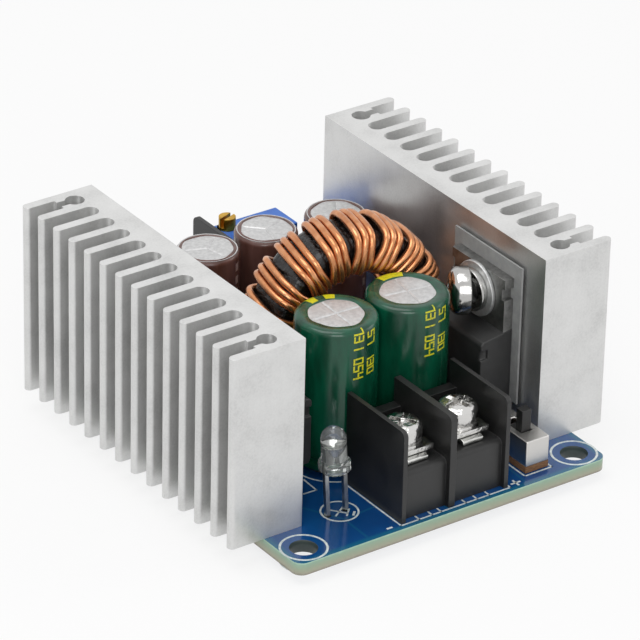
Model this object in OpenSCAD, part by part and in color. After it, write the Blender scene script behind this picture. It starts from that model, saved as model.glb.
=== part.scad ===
// Step-down (buck) converter module: a two-layer circuit board between two finned heatsinks,
// with a toroidal inductor standing on edge, electrolytic capacitors, screw terminals,
// two TO-220 power devices, an indicator LED, a slide switch and a multi-turn trimmer.
// Millimetres. Z = 0 is the plane of the clipped lead ends, X runs across the fins and
// -Y is the input side. The origin is below the centre of the board.

/* [Board] */
// Length of the board along Y
board_l = 58.4; // [58:0.1:66]
// Width of the board along X
board_w = 43.8; // [42:0.2:50]
// Thickness of the board
board_t = 1.6; // [1:0.2:2.4]
// Radius of the board's corners
board_corner_r = 1.3; // [0.5:0.1:2]
// How far the clipped leads stand below the board
lead_tail = 1.2; // [0.8:0.1:2.5]
// Radius of the four mounting holes
mount_hole_r = 1.65; // [1.2:0.05:1.7]
// Distance from a mounting hole's axis to the board's side edge
mount_inset_x = 2.7; // [2.5:0.1:3.2]
// Distance from a mounting hole's axis to the board's end edge
mount_inset_y = 2.9; // [2.5:0.1:3.2]
// Radial clearance of a lead in its board hole
hole_clear = 0.12; // [0.05:0.01:0.2]
// Height of a solder cone under the board
solder_h = 0.7; // [0.4:0.1:0.7]

/* [Heatsinks] */
// Clear distance between the heatsinks' flat inner faces
sink_gap = 33.5; // [33.2:0.1:36]
// Depth of a heatsink, from its inner face to the tips of its fins
sink_depth = 9.75; // [7:0.25:14]
// Length of a heatsink along Y
sink_l = 44; // [42:0.5:46]
// Height of a heatsink
sink_h = 24.4; // [22:0.2:30]
// Distance of the heatsinks' middle behind the board's middle
sink_shift = -0.4; // [-0.7:0.1:0.8]
// Thickness of a heatsink's back plate
sink_base = 2.7; // [2:0.1:3.4]
// Number of fins on a heatsink
fin_count = 14; // [10:1:16]
// Thickness of a fin
fin_t = 1.2; // [0.8:0.1:1.6]
// Radius of the screw channel in a heatsink's first and last gap
channel_r = 1.15; // [0.8:0.05:1.3]
// Width of the neck that opens a screw channel
channel_neck = 1.1; // [0.6:0.1:1.4]

/* [Power devices] */
// Position of the power devices along Y
device_y = -12.95; // [-13.4:0.05:-12.9]
// Width of a TO-220 package
device_w = 10.2; // [9.6:0.1:10.6]
// Thickness of a TO-220 package
device_t = 4.5; // [4.2:0.1:4.7]
// Thickness of the metal tab
tab_t = 1.3; // [1:0.1:1.5]
// Height of the moulded case's foot above the board
case_foot = 4.2; // [3:0.1:5]
// Height of the moulded case
case_h = 9.2; // [8.6:0.1:9.6]
// Height of the whole package, case and tab
package_h = 15.8; // [15:0.1:16.4]
// Height of the tab's hole above the case
tab_hole_up = 3.5; // [3:0.1:4]
// Distance between two leads of a package
device_pitch = 2.54; // [2.3:0.02:2.6]
// Thickness of the insulating pad
pad_t = 0.3; // [0.2:0.05:0.5]
// Width of the insulating pad
pad_w = 13; // [11.5:0.5:14]
// Height of the insulating pad
pad_h = 18; // [17:0.5:18.5]
// Radius of the clamping screw's shank
clamp_r = 1.45; // [1.2:0.05:1.5]
// Radius of the clamping screw's head
clamp_head_r = 2.9; // [2.6:0.1:3]
// Height of the clamping screw's head
clamp_head_h = 1.9; // [1.5:0.1:2.2]
// Radius of the flat washer
washer_r = 3.4; // [3:0.1:3.6]
// Thickness of the flat washer
washer_t = 0.5; // [0.4:0.1:0.8]
// Radius of the spring washer
spring_r = 2.6; // [2.3:0.1:2.8]
// Thickness of the spring washer
spring_t = 0.8; // [0.6:0.1:1]

/* [Inductor] */
// Position of the inductor's axis along X
coil_x = 2.45; // [1:0.05:3]
// Position of the inductor's middle along Y
coil_y = -2.6; // [-2.7:0.05:-0.2]
// Turn of the inductor about the vertical
coil_turn = -4; // [-5:0.5:2]
// Height of the winding's lowest point above the board
coil_lift = 0.15; // [0.1:0.05:1]
// Outer radius of the taped core
core_r = 11.4; // [10:0.1:11.6]
// Inner radius of the taped core
core_bore_r = 8.55; // [7.8:0.05:8.8]
// Width of the taped core along its axis
core_w = 6.8; // [6:0.1:7]
// Rounding of the taped core's edges
core_round = 0.9; // [0.5:0.1:1.2]
// Radius of the winding wire
wire_r = 0.45; // [0.3:0.05:0.47]
// Gap between the core and the wire
wire_lift = 0.1; // [0.05:0.05:0.3]
// Number of turns of each strand
turns = 14; // [10:1:14]
// Angle between two turns of one strand
turn_pitch = 20; // [16:1:20]
// Angle at which the first turn starts
turn_start = 226; // [220:1:230]
// Angle between two strands at the outside of the ring
strand_out = 5.3; // [5:0.1:6]
// Angle between two strands at the inside of the ring
strand_in = 6.67; // [6.6:0.01:6.67]
// Distance between the board holes of two strands
strand_hole_pitch = 1.5; // [1.4:0.05:2]

/* [Capacitors] */
// Radius of the input capacitors
in_cap_r = 4.92; // [4.6:0.02:4.94]
// Height of the input capacitors
in_cap_h = 19.4; // [16:0.2:20]
// Radius of the end disc that shows on an input capacitor
in_disc_r = 3.25; // [3:0.05:3.8]
// Lead distance of the input capacitors
in_cap_pitch = 5; // [4.5:0.1:5.5]
// Position of the left input capacitor along X
in_cap_left_x = -5.2; // [-5.4:0.05:-5.1]
// Position of the left input capacitor along Y
in_cap_left_y = -12.1; // [-12.2:0.05:-12.1]
// Position of the right input capacitor along X
in_cap_right_x = 4.8; // [4.7:0.05:5]
// Position of the right input capacitor along Y
in_cap_right_y = -12.15; // [-12.2:0.05:-12.15]
// Radius of the output capacitors
out_cap_r = 3.85; // [3.5:0.05:3.9]
// Height of the output capacitors
out_cap_h = 16.8; // [14:0.2:18]
// Radius of the end disc that shows on an output capacitor
out_disc_r = 3.05; // [2.6:0.05:3.2]
// Lead distance of the output capacitors
out_cap_pitch = 3.5; // [3.2:0.1:3.8]
// Position of the left output capacitor along X
out_cap_a_x = -6; // [-6.5:0.1:-5.5]
// Position of the left output capacitor along Y
out_cap_a_y = 13; // [11.8:0.1:13.3]
// Position of the middle output capacitor along X
out_cap_b_x = 2.55; // [2:0.05:3.2]
// Position of the middle output capacitor along Y
out_cap_b_y = 13.3; // [12.3:0.05:13.35]
// Position of the right output capacitor along X
out_cap_c_x = 11.9; // [11:0.1:12.4]
// Position of the right output capacitor along Y
out_cap_c_y = 12.1; // [11.6:0.1:14.8]
// Thickness of the shrunk sleeve
sleeve_t = 0.12; // [0.08:0.01:0.2]
// Height of a can's foot above the board
can_foot = 1.2; // [1:0.05:1.2]
// Height of the middle of the crimp above the board
crimp_up = 2.2; // [2.1:0.05:3]
// Radius of the crimp's groove
crimp_r = 0.45; // [0.3:0.05:0.45]
// Radius of a capacitor's round shoulder
shoulder_r = 0.7; // [0.4:0.05:0.8]
// Width of a vent groove in a can's end
vent_w = 0.18; // [0.1:0.02:0.3]
// Depth of a vent groove
vent_d = 0.15; // [0.1:0.01:0.2]
// Height of the rubber seal
bung_h = 0.9; // [0.6:0.1:0.9]
// How far the rubber seal stays inside the can's wall
bung_inset = 1; // [0.9:0.05:1.4]
// Radius of a capacitor lead
cap_lead_r = 0.3; // [0.25:0.05:0.4]

/* [Terminals] */
// Width of a two-way terminal block
term_w = 15.1; // [15:0.1:16]
// Depth of a terminal block along Y
term_d = 11.15; // [11:0.05:11.2]
// Height of a terminal block's walls
term_h = 11.9; // [11:0.1:14]
// Thickness of the end walls
term_end_t = 0.6; // [0.5:0.1:1]
// Thickness of the middle wall
term_mid_t = 1.7; // [1.4:0.1:2]
// Shift of the middle wall from the block's middle
term_mid_shift = -0.5; // [-0.6:0.1:0]
// Height of the front block below the wire entry
term_step = 6.2; // [5.6:0.1:6.6]
// Set-back of the front block behind the walls' front edges
term_recess = 0.7; // [0.4:0.1:1]
// Height of the back wall
term_back_h = 8.8; // [8:0.1:11]
// Middle of the input terminal along X
in_term_x = 0.5; // [-0.5:0.1:1.2]
// Front of the input terminal along Y
in_term_front = -28.3; // [-28.6:0.05:-28.25]
// Middle of the output terminal along X
out_term_x = -4.7; // [-5.2:0.1:-3.7]
// Front of the output terminal along Y
out_term_front = 28.4; // [28.35:0.05:28.8]
// Clearance of the square clamping washer in the narrower bay
plate_clear = 0.2; // [0.15:0.05:0.4]
// How far the terminal screw's head stays inside the washer's sides
head_inset = 0.1; // [0.05:0.05:0.4]
// Height of the terminal screw's head
term_head_h = 1.9; // [1.5:0.1:2.2]
// Radius of the terminal screw's shank
term_shank_r = 1.4; // [1.2:0.05:1.5]
// Length of the terminal screw's shank
term_shank_l = 4.4; // [3.6:0.1:4.6]

/* [LED] */
// Radius of the LED's lens
led_r = 1.5; // [1.4:0.05:1.6]
// Height of the LED, flange to top
led_h = 5.5; // [5:0.1:6]
// Radius of the LED's flange
led_flange_r = 1.9; // [1.8:0.05:2]
// Height of the LED's flange
led_flange_h = 1; // [0.8:0.05:1.2]
// Height of the two posts inside the lens
led_post_h = 2.4; // [2:0.1:2.6]
// Height of the LED's flange above the board
led_up = 6.0; // [4:0.1:8]
// Lean of the LED to the left
led_lean = 4; // [0:0.5:5]
// Position of the LED along X
led_x = -11.75; // [-12.5:0.05:-11]
// Position of the LED along Y
led_y = -22.1; // [-22.7:0.1:-19.2]

/* [Slide switch] */
// Position of the switch's middle along X
switch_x = 13.15; // [12:0.05:13.5]
// Position of the switch's middle along Y
switch_y = -23.2; // [-24.2:0.1:-22.7]
// Width of the switch
switch_w = 3.3; // [3:0.1:3.6]
// Length of the switch along Y
switch_l = 7.8; // [7.4:0.1:8.2]
// Thickness of the switch's insulating base
switch_base_t = 0.9; // [0.6:0.1:1.2]
// Height of the metal shell's top above the board
switch_h = 4.2; // [3.8:0.1:4.6]
// Thickness of the shell's sheet
shell_t = 0.3; // [0.2:0.05:0.4]
// Travel of the knob
knob_travel = 2; // [1.5:0.1:2.5]
// Width of the knob's stem along X
knob_w = 1.35; // [1.2:0.05:1.6]
// Length of the knob's stem along Y
knob_l = 1.2; // [1:0.05:1.6]
// Length of the knob's carriage inside the shell
carriage_l = 4.6; // [4:0.1:4.8]
// Clearance of the knob in its slot
knob_clear = 0.1; // [0.05:0.01:0.1]
// Height of the knob above the shell
knob_up = 2.7; // [2:0.1:3.5]

/* [Trimmer] */
// Middle of the trimmer along X
trim_x = 8.9; // [8.7:0.1:10.5]
// Middle of the trimmer along Y
trim_y = 24.6; // [22.8:0.1:25.3]
// Length of the trimmer along X
trim_l = 9.2; // [9:0.1:9.6]
// Width of the trimmer along Y
trim_w = 4.8; // [4.4:0.1:5]
// Height of the trimmer's top above the board
trim_h = 10.5; // [10:0.1:11]
// Radius of the adjusting screw
trim_screw_r = 1.05; // [0.95:0.05:1.1]
// Height of the adjusting screw above the trimmer
trim_screw_up = 1.5; // [1.2:0.1:2]
// Distance of the adjusting screw's axis from the two nearest sides
trim_screw_inset = 1.2; // [1.2:0.05:1.5]
// Turn of the screw's slot
trim_slot_turn = 20; // [0:5:90]
// Depth of the screw's slot
trim_slot_d = 1.2; // [0.8:0.1:1.4]

/* [Small parts] */
// Position of the controller chip along X
chip_x = -13.2; // [-13.4:0.05:-13]
// Position of the controller chip along Y
chip_y = 2.3; // [0.8:0.1:2.6]
// Length of the controller chip along Y
chip_l = 8.6; // [5:0.1:9]
// Width of the controller chip's moulded body
chip_w = 3.9; // [3.8:0.1:4]
// Height of the controller chip
chip_h = 1.6; // [1.4:0.1:1.8]
// Position of the amplifier chip along X
amp_x = -13.2; // [-13.4:0.05:-13]
// Position of the amplifier chip along Y
amp_y = 11.8; // [11:0.1:12.2]
// Length of the amplifier chip along Y
amp_l = 4.9; // [4.6:0.1:5.2]
// Length of the current-sensing resistor along Y
shunt_l = 6.4; // [5:0.1:6.4]
// Width of the current-sensing resistor along X
shunt_w = 3.2; // [2.5:0.1:3.2]
// Height of the current-sensing resistor
shunt_h = 0.7; // [0.5:0.1:1]
// Position of the current-sensing resistor along X
shunt_x = -14.8; // [-15:0.1:-14.2]
// Position of the current-sensing resistor along Y
shunt_y = 18.2; // [17.8:0.1:19.8]

/* [Hidden] */
$fn = 48;
board_z = lead_tail;
top_z = lead_tail + board_t;
mount_x = board_w / 2 - mount_inset_x;
mount_y = board_l / 2 - mount_inset_y;
sink_x = sink_gap / 2;
fin_pitch = (sink_l - fin_t) / (fin_count - 1);
device_back = sink_x - pad_t;
device_lead_x = device_back - 2.5;
clamp_z = top_z + case_foot + case_h + tab_hole_up;
coil_z = top_z + coil_lift + core_r + wire_lift + 2 * wire_r;
path_out = core_r + wire_lift + wire_r;
path_in = core_bore_r - wire_lift - wire_r;
path_w = core_w / 2 + wire_lift + wire_r;
in_caps = [[in_cap_left_x, in_cap_left_y], [in_cap_right_x, in_cap_right_y]];
out_caps = [[out_cap_a_x, out_cap_a_y], [out_cap_b_x, out_cap_b_y], [out_cap_c_x, out_cap_c_y]];
in_term = [in_term_x, in_term_front];
out_term = [out_term_x, out_term_front];
bay_side = term_w / 2 - term_end_t;
clamp_plate = bay_side + term_mid_shift - term_mid_t / 2 - 2 * plate_clear;
term_head_r = clamp_plate / 2 - head_inset;
bay_x = [(term_mid_shift - term_mid_t / 2 - bay_side) / 2, (term_mid_shift + term_mid_t / 2 + bay_side) / 2];
term_pin_y = 5.0;
term_foot_w = 1;
term_foot_d = 0.7;
term_foot_r = norm([term_foot_w, term_foot_d]) / 2;
device_lead_w = 0.8;
device_lead_t = 0.5;
device_lead_r = norm([device_lead_w, device_lead_t]) / 2;
trim_pin_r = 0.25;
strand_end = [[-9.2, -1.2], [9.6, -0.9]];
strand_hole_skew = 0.6;
strand_rise = 0.6;
term_screw_y = 5.0;
term_round = 1.6;
term_lip_r = 0.7;
term_back_t = 1.5;
term_leg_w = 1.8;
term_leg_t = 0.8;
term_leg_y = term_d - 2.75;
plate_t = 0.8;
plate_y = 2.9;
tongue_w = 2.9;
tongue_l = 1.1;
clamp_plate_t = 0.6;
clamp_boss_h = 0.3;
trim_sunk = 2;
trim_gap = 0.1;
trim_slot_w = 0.5;
led_pitch = 2.54;
led_wire = 0.5;
knob_y = switch_y - knob_travel / 2;
switch_pins = [-2.5, 0, 2.5];
pin_side = 0.6;
trim_pins = [-2.54, 0, 2.54];
trim_screw_at = [trim_x - trim_l / 2 + trim_screw_inset, trim_y + trim_w / 2 - trim_screw_inset];
bend_r = 0.9;
head_round = 0.9;
recess_w = 0.7;
recess_d = 0.9;
can_drop = 0.05;
out_vent_turn = [20, 55, 35];
chip_leg_pitch = 1.27;
chip_resistor = [1.6, 0.8, 0.5];
chip_capacitor = [1.2, 2, 1];
chip_resistor_x = [-15.2, -11.2];
chip_resistor_y = [-6.8, -4.9, -3];
chip_capacitor_at = [[-12.4, 8], [15.2, 4.4], [15.2, 7]];
fine = 0.02;

// ---- shared shapes ----

// A rectangle with round corners, centred on the origin.
module round_rect(w, l, r) {
    square([w - 2 * r, l], center = true);
    square([w, l - 2 * r], center = true);
    for (x = [-1, 1], y = [-1, 1]) translate([x * (w / 2 - r), y * (l / 2 - r)]) circle(r);
}

// Points of an arc from angle a0 to a1.
function arc(cx, cy, r, a0, a1, n = 6) =
    [for (i = [0:n]) [cx + r * cos(a0 + (a1 - a0) * i / n), cy + r * sin(a0 + (a1 - a0) * i / n)]];

// Board holes of every lead: [x, y, hole radius].
function cap_holes(caps, pitch) =
    [for (c = caps, s = [-1, 1]) [c[0] + s * pitch / 2, c[1], cap_lead_r + hole_clear]];
function term_holes(at, turn) =
    [for (b = bay_x) [at[0] + turn * b, at[1] + turn * term_pin_y, term_foot_r + hole_clear]];
device_holes = [for (s = [-1, 1], i = [-1:1])
    [s * device_lead_x, device_y + i * device_pitch, device_lead_r + hole_clear]];
led_holes = [for (s = [-1, 1]) [led_x + s * led_pitch / 2, led_y, led_wire * sqrt(0.5) + hole_clear]];
switch_holes = [for (p = switch_pins) [switch_x, switch_y + p, pin_side * sqrt(0.5) + hole_clear]];
trim_holes = [for (p = trim_pins) [trim_x + p, trim_y, trim_pin_r + hole_clear]];
function strand_hole(end, strand) =
    [coil_x + strand_end[end][0] + strand * strand_hole_pitch,
     coil_y + strand_end[end][1] + strand * strand_hole_skew];
coil_holes = [for (e = [0, 1], s = [-1:1])
    concat(strand_hole(e, s), [wire_r + hole_clear])];
lead_holes = concat(cap_holes(in_caps, in_cap_pitch), cap_holes(out_caps, out_cap_pitch),
    term_holes(in_term, 1), term_holes(out_term, -1), device_holes, led_holes, switch_holes,
    trim_holes, coil_holes);

// ---- board ----

module circuit_board() color("#0f4a86") difference() {
    translate([0, 0, board_z]) linear_extrude(board_t) round_rect(board_w, board_l, board_corner_r);
    for (x = [-1, 1], y = [-1, 1])
        translate([x * mount_x, y * mount_y, board_z - 1]) cylinder(h = board_t + 2, r = mount_hole_r);
    for (p = lead_holes)
        translate([p[0], p[1], board_z - 1]) cylinder(h = board_t + 2, r = p[2], $fn = 24);
}

// A cone of solder under each lead, drawn with a hair's gap round the lead.
module solder_joints() color("#c9ccd0")
    for (p = lead_holes) translate([p[0], p[1], board_z - solder_h]) difference() {
        cylinder(h = solder_h, r1 = p[2] + 0.05, r2 = p[2] + 0.45, $fn = 24);
        translate([0, 0, -1]) cylinder(h = solder_h + 2, r = p[2], $fn = 24);
    }

// ---- heatsinks ----

// Section of the right heatsink, its inner face on x = 0 and its fins along +X.
module sink_section() {
    gap = fin_pitch - fin_t;
    difference() {
        union() {
            translate([0, -sink_l / 2]) square([sink_base + gap / 2, sink_l]);
            for (i = [0:fin_count - 1]) translate([0, -sink_l / 2 + fin_t / 2 + i * fin_pitch]) {
                translate([0, -fin_t / 2]) square([sink_depth - fin_t / 2, fin_t]);
                translate([sink_depth - fin_t / 2, 0]) circle(fin_t / 2);
            }
            for (s = [-1, 1]) translate([0, s * (sink_l / 2 - fin_t - gap / 2) - gap / 2 - fin_t / 4])
                square([sink_base + 2 * channel_r + 0.9, gap + fin_t / 2]);
        }
        for (i = [1:fin_count - 3])
            translate([sink_base + gap / 2, -sink_l / 2 + fin_t / 2 + (i + 0.5) * fin_pitch]) {
                circle(gap / 2);
                translate([0, -gap / 2]) square([sink_depth, gap]);
            }
        for (s = [-1, 1]) translate([sink_base + channel_r - 0.1, s * (sink_l / 2 - fin_t - gap / 2)]) {
            circle(channel_r);
            translate([0, -channel_neck / 2]) square([sink_depth, channel_neck]);
        }
    }
}

module sink() difference() {
    translate([sink_x, sink_shift, top_z]) linear_extrude(sink_h) sink_section();
    translate([sink_x - 1, device_y, clamp_z]) rotate([0, 90, 0])
        cylinder(h = sink_base + 1.4, r = clamp_r + 0.05, $fn = 32);
}

module heatsink_right() color("#d2d2d0") sink();
module heatsink_left() color("#d2d2d0") mirror([1, 0, 0]) sink();

// ---- power devices ----

// Moulded case of a package on the right heatsink.
module device_case() {
    front = device_back - device_t;
    behind = device_back - tab_t;
    z0 = top_z + case_foot;
    difference() {
        translate([0, device_y + device_w / 2, 0]) rotate([90, 0, 0]) linear_extrude(device_w)
            polygon([[behind, z0], [behind, z0 + case_h], [front + 0.35, z0 + case_h - 0.7],
                [front, z0 + case_h - 1.05], [front, z0 + 0.5], [front + 0.25, z0]]);
        for (s = [-1, 1]) translate([front - 1, device_y + s * device_w / 2 - 0.3, z0 + 6.2])
            cube([2, 0.6, 1.2]);
    }
}

// Metal tab and three leads of a package on the right heatsink.
module device_leadframe() {
    z0 = top_z + case_foot;
    difference() {
        translate([device_back - tab_t, device_y - device_w / 2, z0 + 0.2])
            cube([tab_t, device_w, package_h - 0.2]);
        translate([device_back - 3, device_y, clamp_z]) rotate([0, 90, 0])
            cylinder(h = 6, r = clamp_r + 0.3, $fn = 32);
        for (s = [-1, 1]) translate([device_back - 3, device_y + s * device_w / 2 - 0.5, clamp_z + 0.4])
            cube([6, 1, 1.5]);
    }
    for (i = [-1:1]) translate([device_lead_x, device_y + i * device_pitch, 0]) {
        translate([-device_lead_t / 2, -0.65, top_z + 1.4]) cube([device_lead_t, 1.3, case_foot - 1.4]);
        translate([-device_lead_t / 2, -device_lead_w / 2, 0])
            cube([device_lead_t, device_lead_w, top_z + 1.4]);
    }
}

// Insulating pad between a package and the right heatsink.
module device_pad() difference() {
    translate([device_back, device_y - pad_w / 2, clamp_z + 4.9 - pad_h]) cube([pad_t, pad_w, pad_h]);
    translate([device_back - 1, device_y, clamp_z]) rotate([0, 90, 0])
        cylinder(h = pad_t + 2, r = clamp_r + 0.3, $fn = 32);
}

// Two crossing slots of a cross-head recess, cut down from z = 0.
module cross_recess(w, l, d) {
    for (a = [0, 90]) rotate(a) translate([-l / 2, -w / 2, -d]) cube([l, w, d + 1]);
}

// A pan head whose underside is on z = 0.
module pan_head(r, h) difference() {
    rotate_extrude() polygon(concat([[0, 0], [r, 0]],
        arc(r - head_round, h - head_round, head_round, 0, 70, 5), [[0, h]]));
    translate([0, 0, h]) cross_recess(recess_w, r * 1.25, recess_d);
}

module clamp_screw() translate([device_back - tab_t - washer_t - spring_t, device_y, clamp_z])
    rotate([0, -90, 0]) {
        pan_head(clamp_head_r, clamp_head_h);
        shank = tab_t + washer_t + spring_t + pad_t + sink_base;
        translate([0, 0, -shank]) cylinder(h = shank, r = clamp_r, $fn = 32);
    }

module washer_ring(r, t, bore, x) translate([x, device_y, clamp_z]) rotate([0, -90, 0]) difference() {
    cylinder(h = t, r = r);
    translate([0, 0, -1]) cylinder(h = t + 2, r = bore);
}

module transistor_case() color("#2b2b2b") device_case();
module transistor_leadframe() color("#b9b9b6") device_leadframe();
module transistor_pad() color("#808080") device_pad();
module rectifier_case() color("#2b2b2b") mirror([1, 0, 0]) device_case();
module rectifier_leadframe() color("#b9b9b6") mirror([1, 0, 0]) device_leadframe();
module rectifier_pad() color("#808080") mirror([1, 0, 0]) device_pad();
module clamp_screws() color("#d8d8d8") for (m = [0, 1]) mirror([m, 0, 0]) clamp_screw();
module clamp_flat_washers() color("#cfcfcf") for (m = [0, 1]) mirror([m, 0, 0])
    washer_ring(washer_r, washer_t, clamp_r + 0.15, device_back - tab_t);
module clamp_spring_washers() color("#bdbdbd") for (m = [0, 1]) mirror([m, 0, 0]) difference() {
    washer_ring(spring_r, spring_t, clamp_r + 0.1, device_back - tab_t - washer_t);
    translate([device_back - tab_t - washer_t - spring_t - 1, device_y - 0.25, clamp_z - spring_r - 1])
        cube([spring_t + 2, 0.5, spring_r]);
}

// ---- inductor ----

module coil_place() translate([coil_x, coil_y, coil_z]) rotate([0, 0, coil_turn]) children();

module inductor_core() color("#1d1d1f") coil_place() rotate([90, 0, 0]) rotate_extrude($fn = 96)
    translate([(core_r + core_bore_r) / 2, 0]) round_rect(core_r - core_bore_r, core_w, core_round);

// Point on the wire's path: ring angle a, distance r from the axis, y along the axis.
function ring_point(a, r, y) = [r * cos(a), y, r * sin(a)];

// One turn of a strand, from the front outer corner round the back and the bore.
function one_turn(k, strand) = let (
    a = turn_start - turn_pitch * k, so = strand * strand_out, si = strand * strand_in, s = 0.3 * bend_r)
    [ring_point(a + so, path_out - s, -path_w + s),
     ring_point(a + so - 0.6, path_out, -path_w + bend_r),
     ring_point(a + so - 3.4, path_out, path_w - bend_r),
     ring_point(a + so - 4, path_out - s, path_w - s),
     ring_point(a + so - 5, path_out - bend_r, path_w),
     ring_point(a + si - 7, path_in + bend_r, path_w),
     ring_point(a + si - 8, path_in + s, path_w - s),
     ring_point(a + si - 9, path_in, path_w - bend_r),
     ring_point(a + si - 15, path_in, -path_w + bend_r),
     ring_point(a + si - 16, path_in + s, -path_w + s),
     ring_point(a + si - 17, path_in + bend_r, -path_w),
     ring_point(a + so - 19, path_out - bend_r, -path_w)];

// A board hole seen from the turned inductor's own frame.
function to_coil(p) = let (q = [p[0] - coil_x, p[1] - coil_y])
    [q[0] * cos(coil_turn) + q[1] * sin(coil_turn), -q[0] * sin(coil_turn) + q[1] * cos(coil_turn)];
function lead_in(end, strand, z) = let (q = to_coil(strand_hole(end, strand))) [q[0], q[1], z - coil_z];
function strand_path(strand) = let (s = 0.3 * bend_r) concat(
    [lead_in(0, strand, 0), lead_in(0, strand, top_z + strand_rise)],
    [for (k = [0:turns - 1]) each one_turn(k, strand)],
    [ring_point(turn_start - turn_pitch * turns + strand * strand_out, path_out - s, -path_w + s)],
    [lead_in(1, strand, top_z + strand_rise), lead_in(1, strand, 0)]);

function unit(v) = v / norm(v);
// Side directions carried along a path so that the tube doesn't twist.
function carry(path, i, u) = i >= len(path) ? [] :
    let (t = unit(path[min(i + 1, len(path) - 1)] - path[max(i - 1, 0)]), w = unit(u - t * (u * t)))
    concat([w], carry(path, i + 1, w));

// A round wire swept along a path.
module wire(path, r, sides = 6) {
    u = carry(path, 0, [1, 0.2, 0.1]);
    n = len(path);
    t = [for (i = [0:n - 1]) unit(path[min(i + 1, n - 1)] - path[max(i - 1, 0)])];
    points = [for (i = [0:n - 1], j = [0:sides - 1])
        path[i] + r * (cos(360 * j / sides) * u[i] + sin(360 * j / sides) * cross(t[i], u[i]))];
    skin = [for (i = [0:n - 2], j = [0:sides - 1]) let (k = (j + 1) % sides)
        [i * sides + j, (i + 1) * sides + j, (i + 1) * sides + k, i * sides + k]];
    ends = [[for (j = [0:sides - 1]) j], [for (j = [0:sides - 1]) n * sides - 1 - j]];
    polyhedron(points, concat(skin, ends), convexity = 10);
}

module winding_strand_a() color("#d9956a") coil_place() wire(strand_path(-1), wire_r);
module winding_strand_b() color("#d9956a") coil_place() wire(strand_path(0), wire_r);
module winding_strand_c() color("#d9956a") coil_place() wire(strand_path(1), wire_r);

// ---- capacitors ----

// Half section of a can's outside: foot, crimp, straight wall and round shoulder.
function can_wall(r, foot, h) = concat([[0, foot], [r, foot], [r, crimp_up - 0.5]],
    arc(r + 0.05, crimp_up, crimp_r, 250, 110, 6), [[r, crimp_up + 0.5]],
    arc(r - shoulder_r, h - shoulder_r, shoulder_r, 0, 90, 6), [[0, h]]);
function can_section(r, h) = can_wall(r - sleeve_t, can_foot, h - can_drop);

// The can's end carries a pressure vent: grooves that run out from its middle.
module can(at, r, h, vent_arms, vent_turn) translate([at[0], at[1], top_z]) difference() {
    rotate_extrude() polygon(can_section(r, h));
    translate([0, 0, h - can_drop - vent_d]) for (i = [0:vent_arms - 1])
        rotate(vent_turn + 360 * i / vent_arms) translate([0, -vent_w / 2, 0]) cube([r * 0.6, vent_w, 1]);
}

// Shrunk sleeve that laps over the can's shoulder and under its foot.
module sleeve(at, r, h, disc_r) translate([at[0], at[1], top_z]) difference() {
    rotate_extrude() polygon(can_wall(r, can_foot - 0.3, h));
    rotate_extrude() polygon(can_section(r, h));
    translate([0, 0, h - 1]) cylinder(h = 2, r = disc_r);
    cylinder(h = 2 * can_foot, r = r - 0.9, center = true);
}

// Rubber seal in the can's foot.
module bung(at, r) translate([at[0], at[1], top_z + can_foot - bung_h])
    cylinder(h = bung_h, r = r - bung_inset);

module input_capacitor_left_can() color("#d4d4d4") can(in_caps[0], in_cap_r, in_cap_h, 4, 0);
module input_capacitor_left_sleeve() color("#0f6b4f") sleeve(in_caps[0], in_cap_r, in_cap_h, in_disc_r);
module input_capacitor_left_bung() color("#222222") bung(in_caps[0], in_cap_r);
module input_capacitor_right_can() color("#d4d4d4") can(in_caps[1], in_cap_r, in_cap_h, 4, 0);
module input_capacitor_right_sleeve() color("#0f6b4f") sleeve(in_caps[1], in_cap_r, in_cap_h, in_disc_r);
module input_capacitor_right_bung() color("#222222") bung(in_caps[1], in_cap_r);
module output_capacitor_a_can() color("#d4d4d4") can(out_caps[0], out_cap_r, out_cap_h, 3, out_vent_turn[0]);
module output_capacitor_a_sleeve() color("#5a3a38") sleeve(out_caps[0], out_cap_r, out_cap_h, out_disc_r);
module output_capacitor_a_bung() color("#222222") bung(out_caps[0], out_cap_r);
module output_capacitor_b_can() color("#d4d4d4") can(out_caps[1], out_cap_r, out_cap_h, 3, out_vent_turn[1]);
module output_capacitor_b_sleeve() color("#5a3a38") sleeve(out_caps[1], out_cap_r, out_cap_h, out_disc_r);
module output_capacitor_b_bung() color("#222222") bung(out_caps[1], out_cap_r);
module output_capacitor_c_can() color("#d4d4d4") can(out_caps[2], out_cap_r, out_cap_h, 3, out_vent_turn[2]);
module output_capacitor_c_sleeve() color("#5a3a38") sleeve(out_caps[2], out_cap_r, out_cap_h, out_disc_r);
module output_capacitor_c_bung() color("#222222") bung(out_caps[2], out_cap_r);

module capacitor_leads() color("#c9c9c9")
    for (p = concat(cap_holes(in_caps, in_cap_pitch), cap_holes(out_caps, out_cap_pitch)))
        translate([p[0], p[1], 0]) cylinder(h = top_z + 0.3, r = cap_lead_r, $fn = 24);

// ---- screw terminals, drawn with the front on y = 0 and the depth along +Y ----

module term_place(at, turn) translate([at[0], at[1], top_z]) rotate(turn == 1 ? 0 : 180) children();

module term_wall(x, t) translate([x, 0, 0]) rotate([90, 0, 90]) linear_extrude(t) {
    polygon(concat([[0, 0], [term_d, 0], [term_d, term_h]],
        arc(term_round, term_h - term_round, term_round, 90, 180, 8)));
}

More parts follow.
